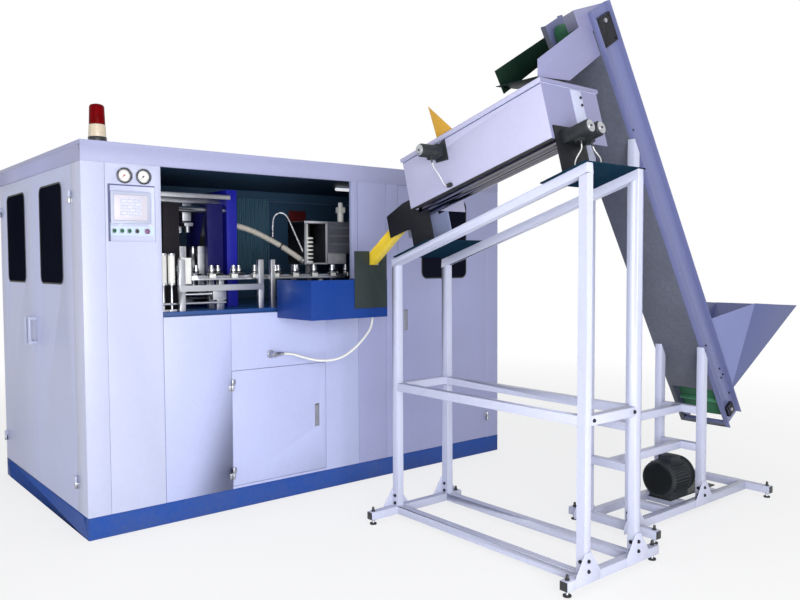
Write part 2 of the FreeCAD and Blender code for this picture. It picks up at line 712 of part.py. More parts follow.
def blow_cylinder():
    """Air cylinder under the top beams that carries the crosshead."""
    middle = sum(CLAMP_Y) / 2
    low = MOULD_Z[1] + STRETCH_TRAVEL + 2 + 62 + 12
    high = PLATEN_TOP + 10
    body = box((CLAMP_MID_X - 30, CLAMP_MID_X + 30), (middle - 60, middle + 60), (low, high))
    bore = rod(V(CLAMP_MID_X, middle, low - 1), Z_AXIS, 8 + RUN_FIT, 110 + 1)
    return body.cut(bore)


def oval(offset, z, height):
    """Racetrack plate round the two chain wheels, offset from the chain line."""
    y_mid = TRACK_Y + TRACK_R
    radius = TRACK_R + offset
    left, right = V(TRACK_X[0], y_mid, z), V(TRACK_X[1], y_mid, z)
    edges = [Part.LineSegment(left + V(0, -radius, 0), right + V(0, -radius, 0)).toShape(),
             Part.Arc(right + V(0, -radius, 0), right + V(radius, 0, 0),
                      right + V(0, radius, 0)).toShape(),
             Part.LineSegment(right + V(0, radius, 0), left + V(0, radius, 0)).toShape(),
             Part.Arc(left + V(0, radius, 0), left + V(-radius, 0, 0),
                      left + V(0, -radius, 0)).toShape()]
    return Part.Face(Part.Wire(edges)).extrude(V(0, 0, height))


def gantry():
    """Aluminium profiles at the bed's front edge: legs, a base bar and uprights."""
    x, y, z = GANTRY_X, GANTRY_Y, GANTRY_Z
    wide = 36.0
    parts = [box((x[0], x[1]), y, (z[0] - wide, z[0]))]
    for left in (x[0], x[1] - wide):
        parts.append(box((left, left + wide), y, (BED_TOP, z[0] - wide)))
        parts.append(box((left, left + wide), y, z))
    parts.append(box((x[1] + 55, x[1] + 55 + 30), y, (BED_TOP, z[1])))
    return parts


def transfer_track():
    """Track table on posts, with the shaft bores of the chain wheels."""
    y_mid = TRACK_Y + TRACK_R
    table = oval(20, TRACK_Z - TRACK_T, TRACK_T)
    table = table.cut([rod(V(x, y_mid, TRACK_Z - 50), Z_AXIS, 10 + RUN_FIT, 60) for x in TRACK_X])
    parts = [table]
    for x in (TRACK_X[0] + 150, TRACK_X[1] - 150):
        for y in (TRACK_Y + 30, TRACK_Y + 2 * TRACK_R - 30):
            parts.append(box((x - 18, x + 18), (y - 18, y + 18), (BED_TOP, TRACK_Z - TRACK_T)))
    return group(parts + gantry())


def chain_point(way):
    """Place and heading on the chain line after a way along it."""
    straight = TRACK_X[1] - TRACK_X[0]
    arc = math.pi * TRACK_R
    way = way % (2 * straight + 2 * arc)
    y_mid = TRACK_Y + TRACK_R
    if way < straight:
        return V(TRACK_X[0] + way, TRACK_Y, 0), 0.0
    way -= straight
    if way < arc:
        turn = way / TRACK_R
        return V(TRACK_X[1] + TRACK_R * math.sin(turn), y_mid - TRACK_R * math.cos(turn), 0), turn
    way -= arc
    if way < straight:
        return V(TRACK_X[1] - way, TRACK_Y + 2 * TRACK_R, 0), math.pi
    turn = (way - straight) / TRACK_R
    return (V(TRACK_X[0] - TRACK_R * math.sin(turn), y_mid + TRACK_R * math.cos(turn), 0),
            math.pi + turn)


def preform_carriers():
    """Closed chain with carriers: a clamp block and a preform cup on each."""
    chain = oval(CHAIN_W / 2, TRACK_Z, CHAIN_H).cut(oval(-CHAIN_W / 2, TRACK_Z, CHAIN_H))
    length = 2 * (TRACK_X[1] - TRACK_X[0]) + 2 * math.pi * TRACK_R
    base = TRACK_Z + CHAIN_H
    block = box((-34, 34), (-13, 13), (base, base + 14))
    cup = rod(V(0, 0, base + 14), Z_AXIS, 19, 32)
    carrier = join([block, cup])
    parts = [chain]
    for index in range(CARRIERS):
        point, heading = chain_point((index + 0.5) * length / CARRIERS)
        parts.append(moved(turned(carrier, V(), Z_AXIS, math.degrees(heading)), point))
    return group(parts)


def chain_wheel(x):
    """Wheel inside the end of the chain loop, on a shaft through the table."""
    y_mid = TRACK_Y + TRACK_R
    radius = TRACK_R - CHAIN_W / 2 - CLEAR
    disc = rod(V(x, y_mid, TRACK_Z + CLEAR), Z_AXIS, radius, CHAIN_H - 2 * CLEAR)
    hub = rod(V(x, y_mid, TRACK_Z + CLEAR), Z_AXIS, 26, CHAIN_H + 14)
    shaft = rod(V(x, y_mid, TRACK_Z - TRACK_T - 30), Z_AXIS, 10, TRACK_T + 40)
    body = join([disc, hub, shaft])
    holes = [turned(rod(V(x + 62, y_mid, TRACK_Z), Z_AXIS, 20, 40), V(x, y_mid, 0), Z_AXIS, 60 * n)
             for n in range(6)]
    return body.cut(holes)


def oven():
    """Heating oven: open frame with a back, lamp box, legs and the stack of discs."""
    x_open, x_box, x_end = OVEN_X
    y, z = OVEN_Y, OVEN_Z
    bar, sill = 16.0, 10.0
    back = y[1] - bar
    inner = (x_open + bar, x_box - bar)
    frame = [box((x_open, x_box), y, (z[0], z[0] + sill)), box((x_open, x_box), y, (z[1] - bar, z[1])),
             box((x_open, inner[0]), y, (z[0] + sill, z[1] - bar)),
             box((inner[1], x_box), y, (z[0] + sill, z[1] - bar)),
             box(inner, (back, y[1]), (z[0] + sill, z[1] - bar))]
    slots = [box((x_box + 20, x_end - 20), (y[0] - 1, y[0] + 12), (z[1] - drop, z[1] - drop + 8))
             for drop in (45, 105, 165)]
    lamp_box = box((x_box, x_end), y, (z[0] + 80, z[1])).cut(slots)
    legs = [box((x, x + 30), (y[1] - 30, y[1]), (BED_TOP, z[0])) for x in (x_open + 20, x_box - 50)]
    legs.append(box((x_end - 40, x_end - 10), (y[1] - 30, y[1]), (BED_TOP, z[0] + 80)))
    x_mid = x_open + bar + DISC_R + 8
    y_mid = sum(y) / 2 - 30
    spindle = rod(V(x_mid, y_mid, z[0] + sill), Z_AXIS, 10, z[1] - z[0] - bar - sill)
    discs = [rod(V(x_mid, y_mid, z[0] + sill + n * DISC_PITCH), Z_AXIS, DISC_R, DISC_T)
             for n in range(DISCS)]
    return group(frame + [lamp_box] + legs + [join([spindle] + discs)])


def cord_route(points):
    """Lines and tangent arcs through the points, and the arc radii."""
    edges, radii, last = [], [], points[0]
    for before, here, after in zip(points, points[1:], points[2:]):
        run_in, run_out = (before - here), (after - here)
        reach = 0.45 * min(run_in.Length, run_out.Length)
        turn = math.pi - run_in.getAngle(run_out)
        radii.append(reach / math.tan(turn / 2))
        start = here + V(run_in).normalize() * reach
        end = here + V(run_out).normalize() * reach
        bisector = (V(run_in).normalize() + V(run_out).normalize()).normalize()
        sagitta = radii[-1] / math.cos(turn / 2) - radii[-1]
        edges.append(Part.LineSegment(last, start).toShape())
        edges.append(Part.Arc(start, here + bisector * sagitta, end).toShape())
        last = end
    edges.append(Part.LineSegment(last, points[-1]).toShape())
    return edges, radii


def cord(name, points, radius, bore=0.0):
    """Tube along the route; prints its length, least radius and volume test."""
    edges, radii = cord_route(points)
    path = Part.Wire(edges)
    direction = points[1] - points[0]
    outer = Part.Wire(Part.makeCircle(radius, points[0], direction))
    body = path.makePipeShell([outer], True, False)
    area = math.pi * radius ** 2
    if bore:
        inner = Part.Wire(Part.makeCircle(bore, points[0], direction))
        body = body.cut(path.makePipeShell([inner], True, False))
        area -= math.pi * bore ** 2
    share = body.Volume / (area * path.Length)
    print(f"{name}: length {path.Length:.0f} mm, radii {[round(r) for r in radii]},"
          f" volume/section {share:.4f}")
    return body


CONDUIT_START = V(FIXED_RIGHT_X + FIXED_PLATEN_T, 500, 1792)
CONDUIT_MAIN = [(-6, 0, 0), (70, -9, -7), (163, -36, -40), (258, -73, -90), (343, -112, -143),
                (418, -146, -198), (487, -174, -251)]
CONDUIT_ARCH = [(257, -148, -62), (256.5, -149, -34), (257, -150, 6), (259, -152, 42),
                (276, -154, 69), (303, -156, 84), (334, -158, 83), (361, -160, 66),
                (381, -162, 31), (416, -165, -40), (452, -168, -116), (487, -171, -187)]


def conduits():
    """Hoses into the oven's left side: from the clamp column, and one in a free arch."""
    between = box((CONDUIT_START.x, OVEN_X[0]), (0, CAB_D), (BED_TOP, CAB_H))
    main = cord("conduit_main", [CONDUIT_START + V(*p) for p in CONDUIT_MAIN], 19)
    arch = cord("conduit_arch", [CONDUIT_START + V(*p) for p in CONDUIT_ARCH], 8)
    return group([main.common(between), arch.common(between)])


def air_fittings():
    """Filter regulator on the oven, two upright cylinders and the valve bar."""
    x, y, z = OVEN_X[1] + 150, OVEN_Y[0] + 50, OVEN_Z[1]
    stack = [rod(V(x, y, z), Z_AXIS, 22, 70), box((x - 26, x + 26), (y - 24, y + 24), (z + 70, z + 110)),
             rod(V(x, y, z + 110), Z_AXIS, 17, 34)]
    parts = [join(stack)]
    for x in CYLINDER_X:
        foot = box((x - 24, x + 24), (CYLINDER_Y - 24, CYLINDER_Y + 24), (BED_TOP, BED_TOP + 12))
        stem = rod(V(x, CYLINDER_Y, BED_TOP + 12), Z_AXIS, 9, 145)
        tube = rod(V(x, CYLINDER_Y, BED_TOP + 157), Z_AXIS, 21, 185)
        parts.append(join([foot, stem, tube]))
    valve_z = BED_TOP + 100
    valve = box((810, 898), (VALVE_Y - 22, VALVE_Y + 22), (valve_z - 38, valve_z + 42))
    bar = rod(V(630, VALVE_Y, valve_z), X_AXIS, 7, 180)
    leg = box((840, 868), (VALVE_Y - 14, VALVE_Y + 14), (BED_TOP, valve_z - 38))
    parts.append(join([valve, bar, leg]))
    return group(parts)


# ------------------------------------------------------------------- infeed
def infeed_trough():
    outer = box(TROUGH_X, (-TROUGH_Y, 0), TROUGH_Z)
    inner = box((TROUGH_X[0] + TROUGH_T, TROUGH_X[1] - TROUGH_T), (TROUGH_T - TROUGH_Y, -TROUGH_T),
                (TROUGH_Z[0] + TROUGH_T, TROUGH_Z[1] + 1))
    mouth = box((TROUGH_X[0] + TROUGH_T, TROUGH_X[1] - TROUGH_T), (-TROUGH_T - 1, 1),
                (SILL_Z + 6, TROUGH_Z[1] + 1))
    outlet = rod(V(HOSE_POINTS[-1].x, HOSE_POINTS[-1].y, TROUGH_Z[0] - 1), Z_AXIS,
                 HOSE_R - HOSE_WALL, TROUGH_T + 2)
    return outer.cut([inner, mouth, outlet])


def guard_panels():
    """Flat dark guards: one on the trough, with a slot that the chute rests in, and
    one beside the elevator's discharge."""
    y = -TROUGH_Y
    infeed = box(GUARD_X, (y - GUARD_T, y), GUARD_Z)
    slot = CHUTE_IN / 2 + CHUTE_WALL + CHUTE_FLANGE + 3
    rest = CHUTE_TOP[1] - (y - CHUTE_TOP[0]) * math.tan(math.radians(CHUTE_ANGLE)) - CLEAR
    infeed = infeed.cut(box((ROLLER_MID_X - slot, ROLLER_MID_X + slot), (y - GUARD_T - 1, y + 1),
                            (rest, GUARD_Z[1] + 1)))
    far = (ELEV_Y[1], ELEV_Y[1] + GUARD_T)
    large = front_prism([(1554, 2491), (1622, 2385), (1997, 2637), (1937, 2727)], far)
    return group([infeed, large])


HOSE_END = V(1200, -40, 948)
HOSE_POINTS = [HOSE_END, V(1275, -40, 948), V(1350, -95, 915), V(1435, -165, 893),
               V(1530, -225, 905), V(1615, -265, 962), V(1690, -290, 1043), V(1743, -300, 1115),
               V(1743, -300, TROUGH_Z[0])]


def hose_fitting():
    """Elbow on the front panel that takes the hose."""
    x, y, z = HOSE_END.x, HOSE_END.y, HOSE_END.z
    flange = rod(V(x - 50, -8, z), Y_AXIS, HOSE_FIT_R + 12, 8)
    stem = rod(V(x - 50, y - HOSE_FIT_R - 4, z), Y_AXIS, HOSE_FIT_R + 2, HOSE_FIT_R - y)
    arm = rod(V(x - 50, y, z), X_AXIS, HOSE_FIT_R, 50)
    return join([flange, stem, arm])


# ---------------------------------------------------------------- stands
def bar_x(x, y, z):
    half = TUBE / 2
    return box(x, (y - half, y + half), (z - half, z + half))


def bar_y(x, y, z):
    half = TUBE / 2
    return box((x - half, x + half), y, (z - half, z + half))


def post(x, y, z):
    half = TUBE / 2
    return box((x - half, x + half), (y - half, y + half), z)


BASE_Z = FOOT_H + TUBE / 2


def gusset(x, y, z, side):
    """Triangular plate on the near face of a post, standing on a base rail."""
    half = TUBE / 2
    face = y - half if side < 0 else y + half
    points = [(x - 95, z), (x + 95, z), (x + 22, z + 105), (x - 22, z + 105)]
    low = [(x - 95, z - 40), (x + 95, z - 40)]
    return front_prism(low + [points[1], points[2], points[3], points[0]],
                       sorted((face, face + side * 5.0)))


def feeder_stand():
    half = TUBE / 2
    base_top = FOOT_H + TUBE
    slope = (RAIL_HIGH_Z - RAIL_LOW_Z) / (POST_Y[0] - POST_Y[1])
    drop = TUBE * math.sqrt(1 + slope ** 2)
    y_ends = (POST_Y[0] + half, POST_Y[1] - half)
    parts = []
    for y, foot_x in zip(POST_Y, FEEDER_FOOT_X):
        parts.append(bar_x(foot_x, y, BASE_Z))
        parts.append(bar_x((POST_X[0] + half, POST_X[1] - half), y, MID_RAIL_Z))
    for x in POST_X:
        parts.append(bar_y(x, (POST_Y[1] + half, POST_Y[0] - half), BASE_Z))
        parts.append(bar_y(x, (POST_Y[1] + half, POST_Y[0] - half), MID_RAIL_Z))
        rail = side_prism([(y_ends[0], rail_top(y_ends[0])), (y_ends[1], rail_top(y_ends[1])),
                           (y_ends[1], rail_top(y_ends[1]) - drop),
                           (y_ends[0], rail_top(y_ends[0]) - drop)], (x - half, x + half))
        parts.append(rail)
        for y in POST_Y:
            low, high = y - half, y + half
            parts.append(side_prism([(low, base_top), (high, base_top),
                                     (high, rail_top(high) - drop), (low, rail_top(low) - drop)],
                                    (x - half, x + half)))
            side = 1 if y == POST_Y[0] else -1
            parts.append(gusset(x, y, base_top, side))
    return group(parts)


def deck_block(y, lift, height):
    """Block over the stand between two depths, its lower face on the rails."""
    points = [(y[0], rail_top(y[0]) + lift), (y[1], rail_top(y[1]) + lift),
              (y[1], rail_top(y[1]) + lift + height), (y[0], rail_top(y[0]) + lift + height)]
    return side_prism(points, (POST_X[0] - 40, POST_X[1] + 40))


ROLLER_X = (ROLLER_MID_X - ROLLER_R - ROLLER_GAP / 2, ROLLER_MID_X + ROLLER_R + ROLLER_GAP / 2)
CHEEK_X = (ROLLER_X[0] - ROLLER_R - CHEEK_GAP, ROLLER_X[1] + ROLLER_R + CHEEK_GAP)
LOW_BEARING = (-35.0, -27.0)
GUIDE_X = 15.5            # guide rails between the rollers and the chute
DECK_LOW_Y = (-797.0, -1100.0)
DECK_HIGH_Y = (-1905.0, -2163.0)


def run_prism(points, x):
    """Prism in the feeder's level frame from (run, height) points."""
    return side_prism([(-run, height) for run, height in points], x)


def below_deck():
    """Everything under the upper face of the deck plates."""
    return deck_block((-500, -2400), DECK_T - 400, 400)


def roller_brackets():
    """Deck plates, the cheeks at the low end and the plate at the high end."""
    decks = [deck_block(y, 0, DECK_T) for y in (DECK_LOW_Y, DECK_HIGH_Y)]
    cheek = [(-225, -90), (-225, 45), (-60, 75), (BIN_RUN[0], 75), (BIN_RUN[0], -30), (150, -30),
             (150, -400), (-30, -400), (-30, -90)]
    cut = below_deck()
    parts = list(decks)
    parts.append(feeder(box(CHEEK_X, (140, 150), (-60, -20))))
    for x in (ROLLER_MID_X - GUIDE_X, ROLLER_MID_X + GUIDE_X):
        parts.append(feeder(box((x - 1.5, x + 1.5), (37, 200), (-20, 10))))
    for index, x in enumerate(CHEEK_X):
        out = -CHEEK_T if index == 0 else CHEEK_T
        plate = run_prism(cheek, sorted((x, x + out)))
        inner = x if index == 0 else ROLLER_X[1] - 12
        outer = ROLLER_X[0] + 12 if index == 0 else x
        ear = run_prism([(LOW_BEARING[0], -25), (LOW_BEARING[1], -25), (LOW_BEARING[1], 25),
                         (LOW_BEARING[0], 25)], (inner, outer))
        bore = rod(V(ROLLER_X[index], -LOW_BEARING[0] + 1, 0), V(0, -1, 0),
                   ROLLER_SHAFT_R + RUN_FIT, BRACKET_T + 2)
        parts.append(feeder(join([plate, ear]).cut(bore)).cut(cut))
    high = BIN_RUN[1]
    plate = box((POST_X[0] + 10, ROLLER_X[1] + 70), (-high - BRACKET_T, -high), (-400, 60))
    plate = plate.cut([rod(V(x, -high + 1, 0), V(0, -1, 0), ROLLER_SHAFT_R + RUN_FIT, BRACKET_T + 2)
                       for x in ROLLER_X])
    parts.append(feeder(plate).cut(cut))
    return group(parts)


def roller(index):
    """Roller with its two shaft ends."""
    x = ROLLER_X[index]
    start, end = LOW_BEARING[1] + 4, BIN_RUN[1] - 4
    shaft = rod(V(x, -LOW_BEARING[0], 0), V(0, -1, 0), ROLLER_SHAFT_R,
                BIN_RUN[1] + BRACKET_T - LOW_BEARING[0])
    drum = rod(V(x, -start, 0), V(0, -1, 0), ROLLER_R, end - start)
    return feeder(join([shaft, drum]))


def preform_bin():
    """Folded bin: walls, turned rim, sloping floors and the shaft bores."""
    x, run = BIN_X, BIN_RUN
    y = (-run[1], -run[0])
    walls = box(x, y, (BIN_LOW, BIN_HIGH))
    walls = walls.cut(box((x[0] + BIN_T, x[1] - BIN_T), (y[0] + BIN_T, y[1] - BIN_T),
                          (BIN_LOW - 1, BIN_HIGH + 1)))
    walls = walls.cut(box((x[1] - 10, x[1] + 1), (y[0] + BIN_T, y[1] - BIN_T), (BIN_LOW - 1, SKIRT_LOW)))
    rim = box((x[0] - RIM, x[1] + RIM), (y[0] - RIM, y[1] + RIM), (BIN_HIGH - RIM_H, BIN_HIGH))
    rim = rim.cut(box((x[0] + 1, x[1] - 1), (y[0] + 1, y[1] - 1), (BIN_HIGH - RIM_H - 1, BIN_HIGH + 1)))
    edge_l = ROLLER_X[0] - ROLLER_R * 0.6
    edge_r = ROLLER_X[1] + ROLLER_R * 0.6
    floor_y = (y[0] + 1, y[1] - 1)
    clear = ROLLER_R + 2
    left = front_prism([(x[0] + 1, 70), (edge_l, clear), (edge_l, clear + BIN_T), (x[0] + 1, 74)], floor_y)
    right = front_prism([(x[1] - 1, SKIRT_LOW), (edge_r, clear), (edge_r, clear + BIN_T),
                         (x[1] - 1, SKIRT_LOW + 4)], floor_y)
    body = join([walls, rim, left, right])
    for end, low in ((y[1], 62), (y[0], 27)):
        body = body.cut(box((CHEEK_X[0] - 4, CHEEK_X[1] + 4), (end - 5, end + 5), (BIN_LOW - 1, low)))
    bore = rod(V(x[0] - 5, -PADDLE_RUN, PADDLE_UP), X_AXIS, ROLLER_SHAFT_R + RUN_FIT, x[1] - x[0] + 10)
    return feeder(body.cut(bore))


def paddle_wheel():
    """Shaft across the bin with flat kicker blades over the roller gap."""
    shaft = rod(V(BIN_X[0] - 6, 0, 0), X_AXIS, ROLLER_SHAFT_R, BIN_X[1] - BIN_X[0] + 6)
    hub_x = (ROLLER_X[0] - 20, ROLLER_X[1] + 20)
    hub = rod(V(hub_x[0], 0, 0), X_AXIS, 22, hub_x[1] - hub_x[0])
    blade = box(hub_x, (-2, 2), (15, PADDLE_R))
    blades = [turned(blade, V(), X_AXIS, 45 + 360 / PADDLE_BLADES * n) for n in range(PADDLE_BLADES)]
    body = join([shaft, hub] + blades)
    return feeder(moved(body, V(0, -PADDLE_RUN, PADDLE_UP)))


def gear_motor():
    """Small geared motor along +X from its mounting face."""
    head = box((0, GEAR_L), (-34, 34), (-34, 34))
    body = rod(V(GEAR_L, 0, 0), X_AXIS, MOTOR_R, MOTOR_L)
    cap = Part.makeCone(MOTOR_R, MOTOR_R - 6, CAP_L, V(GEAR_L + MOTOR_L, 0, 0), X_AXIS)
    lead_box = box((GEAR_L + 10, GEAR_L + 50), (-15, 15), (-MOTOR_R - 10, 0))
    return join([head, body, cap, lead_box])


def drive_motors():
    """Two roller motors, the paddle motor on its plate, and the base motor."""
    motor = gear_motor()
    parts = []
    start = -BIN_RUN[1] - BRACKET_T
    for x in ROLLER_X:
        parts.append(feeder(moved(turned(motor, V(), Z_AXIS, -90), V(x, start, 0))))
    plate_t = 6.0
    plate = prism([V(0, -48, -58), V(0, 48, -42), V(0, 48, 42), V(0, -48, 58)], V(-plate_t, 0, 0))
    plate = plate.cut(rod(V(1, 0, 0), V(-1, 0, 0), ROLLER_SHAFT_R + RUN_FIT, plate_t + 2))
    side = moved(turned(motor, V(), Z_AXIS, 180), V(-plate_t, 0, 0))
    place = V(BIN_X[0], -PADDLE_RUN, PADDLE_UP)
    parts.extend([feeder(moved(plate, place)), feeder(moved(side, place))])
    parts.append(base_motor())
    return group(parts)


def chute_frame(shape):
    """From level (y = way down, z = out of the floor) to the chute's place."""
    return moved(turned(shape, V(), X_AXIS, -CHUTE_ANGLE), V(ROLLER_MID_X, *CHUTE_TOP))


def preform_chute():
    """Open channel that drops the preforms into the trough, on two side tabs."""
    half = CHUTE_IN / 2
    out = half + CHUTE_WALL
    lip = out + CHUTE_FLANGE
    top = CHUTE_DEPTH + 2
    points = [(-out, 0), (out, 0), (out, CHUTE_DEPTH), (lip, CHUTE_DEPTH), (lip, top), (half, top),
              (half, CHUTE_WALL), (-half, CHUTE_WALL), (-half, top), (-lip, top),
              (-lip, CHUTE_DEPTH), (-out, CHUTE_DEPTH)]
    channel = front_prism(points, (0, CHUTE_L))
    body = chute_frame(channel)
    tabs = []
    for side, cheek in ((-1, CHEEK_X[0]), (1, CHEEK_X[1])):
        x = sorted((cheek - ROLLER_MID_X, side * (out - 1)))
        tabs.append(chute_frame(box(x, (5, 30), (20, 24))))
    return join([body] + tabs)


def bin_guard():
    """Triangular guard plate on the bin's near wall, beside the paddle wheel."""
    points = [(380, 240), (505, 240), (505, 300), (352, 500)]
    x = BIN_X[0] + BIN_T
    return feeder(run_prism(points, (x, x + 3)))


# -------------------------------------------------------------------- cables
def feed_point(x, run, height):
    """Point of the feeder's level frame in the machine's frame."""
    angle = math.radians(FEED_TILT)
    return V(x, FEED_Y - run * math.cos(angle) + height * math.sin(angle),
             FEED_Z + run * math.sin(angle) + height * math.cos(angle))


CABLE_R = 3.0
PADDLE_CABLE = [(-80, 0, -46), (-80, 0, -70), (-81, 6, -94), (-82, 18, -116), (-81, 30, -138),
                (-75, 36, -162), (-62, 32, -182), (-44, 23, -195), (-24, 16, -199)]
ROLLER_LEAD = [(0, 0, 0), (0, 0, -20), (8, 0, -40), (26, 0, -59), (47, -1, -77), (56, -14, -99),
               (48, -31, -119), (26, -44, -129), (1, -60, -127), (-9.2, -80.3, -128)]


def lead_points(index):
    """Loop of a roller motor's lead: down, outwards and back to the high plate."""
    outward = 1 if index else -1
    return [(ROLLER_X[index] + outward * out, BIN_RUN[1] + BRACKET_T + GEAR_L + 38 + run,
             -MOTOR_R - 10 + up) for out, run, up in ROLLER_LEAD]


def feeder_cables():
    """Paddle motor cable with its gland, and the two roller motor leads."""
    paddle = [(BIN_X[0] + x, PADDLE_RUN + run, PADDLE_UP + up) for x, run, up in PADDLE_CABLE]
    x, run, up = paddle[-1]
    gland = feeder(box((x, BIN_X[0]), (-run - 14, -run + 14), (up - 10, up + 10)))
    routes = {"paddle_cable": paddle, "roller_lead_left": lead_points(0),
              "roller_lead_right": lead_points(1)}
    cables = [cord(name, [feed_point(*p) for p in points], CABLE_R)
              for name, points in routes.items()]
    return group(cables + [gland])


# ------------------------------------------------------------------ elevator
def channel(side):
    """Side channel of the elevator with its bearing holes."""
    web_y = ELEV_Y[0] if side == "near" else ELEV_Y[1]
    inward = 1 if side == "near" else -1
    y = sorted((web_y, web_y + inward * CHANNEL_T))
    lip_y = sorted((web_y, web_y - inward * CHANNEL_LIP))
    web = box((0, ELEV_L), y, (-ELEV_DEPTH, 0))
    lips = [box((0, ELEV_L), lip_y, z) for z in ((-CHANNEL_T, 0), (-ELEV_DEPTH, CHANNEL_T - ELEV_DEPTH))]
    body = join([web] + lips)
    holes = [rod(V(run, web_y - 50, -ELEV_DEPTH / 2), Y_AXIS, DRUM_SHAFT_R + 2, 100) for run in DRUM_RUN]
    return body.cut(holes)


def bearing(plate, run, side):
    """Bearing plate on the outside of a channel web."""
    web_y = ELEV_Y[0] if side == "near" else ELEV_Y[1]
    outward = -1 if side == "near" else 1
    y = sorted((web_y, web_y + outward * BEARING_T))
    body = box(plate[0], y, plate[1])
    bore = rod(V(run, y[0] - 1, -ELEV_DEPTH / 2), Y_AXIS, DRUM_SHAFT_R + RUN_FIT, BEARING_T + 2)
    return body.cut(bore)


def elevator_frame():
    parts = [channel("near"), channel("far")]
    inner = (ELEV_Y[0] + CHANNEL_T, ELEV_Y[1] - CHANNEL_T)
    parts.append(box(PAN_RUN, (ELEV_Y[0], ELEV_Y[1] + CHANNEL_LIP), (-ELEV_DEPTH - PAN_T, -ELEV_DEPTH)))
    parts.append(box((ELEV_L - 30, ELEV_L), inner, (-ELEV_DEPTH, 30 - ELEV_DEPTH)))
    for plate, run in zip((HEAD_BEARING, TAIL_BEARING), DRUM_RUN):
        parts.extend([bearing(plate, run, "near"), bearing(plate, run, "far")])
    return elevator(group(parts))


def drum(run):
    inner = (ELEV_Y[0] + CHANNEL_T + 6, ELEV_Y[1] - CHANNEL_T - 6)
    shell = rod(V(run, inner[0], -ELEV_DEPTH / 2), Y_AXIS, DRUM_R, inner[1] - inner[0])
    end = (ELEV_Y[0] - BEARING_T - 8, ELEV_Y[1] + BEARING_T + 8)
    shaft = rod(V(run, end[0], -ELEV_DEPTH / 2), Y_AXIS, DRUM_SHAFT_R, end[1] - end[0])
    return elevator(join([shell, shaft]))


def belt_loop(radius, y):
    """Closed loop round both drums, pushed across the belt's width."""
    z = -ELEV_DEPTH / 2
    left, right = V(DRUM_RUN[0], y[0], z), V(DRUM_RUN[1], y[0], z)
    edges = [Part.LineSegment(left + V(0, 0, radius), right + V(0, 0, radius)).toShape(),
             Part.Arc(right + V(0, 0, radius), right + V(radius, 0, 0),
                      right + V(0, 0, -radius)).toShape(),
             Part.LineSegment(right + V(0, 0, -radius), left + V(0, 0, -radius)).toShape(),
             Part.Arc(left + V(0, 0, -radius), left + V(-radius, 0, 0),
                      left + V(0, 0, radius)).toShape()]
    return Part.Face(Part.Wire(edges)).extrude(V(0, y[1] - y[0], 0))


def elevator_belt():
    """Cleated belt in one piece."""
    y = (ELEV_Y[0] + BELT_EDGE, ELEV_Y[1] - BELT_EDGE)
    inner = DRUM_R + CLEAR
    outer = inner + BELT_T
    belt = belt_loop(outer, y).cut(belt_loop(inner, y))
    mid = -ELEV_DEPTH / 2
    step = (DRUM_RUN[1] - DRUM_RUN[0]) / CLEATS
    cleats = []
    for index in range(CLEATS):
        run = DRUM_RUN[0] + (index + 0.5) * step
        x = (run - CLEAT_T / 2, run + CLEAT_T / 2)
        cleats.append(box(x, y, (mid + outer - 1, mid + outer + CLEAT_H)))
        cleats.append(box(x, y, (mid - outer - CLEAT_H, mid - outer + 1)))
    return elevator(join([belt] + cleats))


def sheet_panel(points, inward):
    """Flat sheet on a planar polygon, thickened towards the point inward."""
    normal = (points[1] - points[0]).cross(points[2] - points[0]).normalize()
    if normal.dot(inward - points[0]) < 0:
        normal = normal * -1
    return prism(points, normal * HOPPER_T)


def loading_hopper():
    """Flared hopper of folded sheet on the carrying side of the elevator."""
    mid_y = sum(ELEV_Y) / 2
    half = (ELEV_Y[1] - ELEV_Y[0]) / 2
    top_x, top_z = elevator_point(2020, 0)
    toe_x, toe_z = elevator_point(2580, 0)
    inward = V(3450, mid_y, 1150)
    panels = []
    corners = {}
    for side in (-1, 1):
        top = V(top_x, mid_y + side * half, top_z)
        toe = V(toe_x, mid_y + side * half, toe_z)
        knee = V(3560, mid_y + side * 235, 1255)
        tip = V(4045, mid_y + side * 285, 1225)
        panels.append(sheet_panel([top, knee, toe], inward))
        panels.append(sheet_panel([knee, tip, toe], inward))
        corners[side] = (toe, tip)
    panels.append(sheet_panel([corners[-1][0], corners[-1][1], corners[1][1], corners[1][0]], inward))
    return join(panels)


def discharge_chute():
    """Hood from the head of the elevator over the bin: near wall, flange and floor."""
    low = [(1560, 2412), (1800, 2428), (2040, 2588)]
    near = (ELEV_Y[0] + CHANNEL_T, ELEV_Y[0] + 2 * CHANNEL_T)
    wall = front_prism([(1558, 2495), low[0], low[1], (2051, 2596), (1985, 2700), (2010, 2805),
                        (2075, 2868), (1825, 2778), (1873, 2705)], near)
    top, bottom = V(1825, near[0], 2778), V(1873, near[0], 2705)
    back = V(50, 107, 3)
    flange = sheet_panel([top, bottom, bottom + back, top + back], V(2050, near[1], 2700))
    across = (ELEV_Y[0] + CHANNEL_T, ELEV_Y[1])
    floor = front_prism(low + [(2040, 2591), (1799, 2431), (1560, 2415)], across)
    return join([wall, flange, floor])


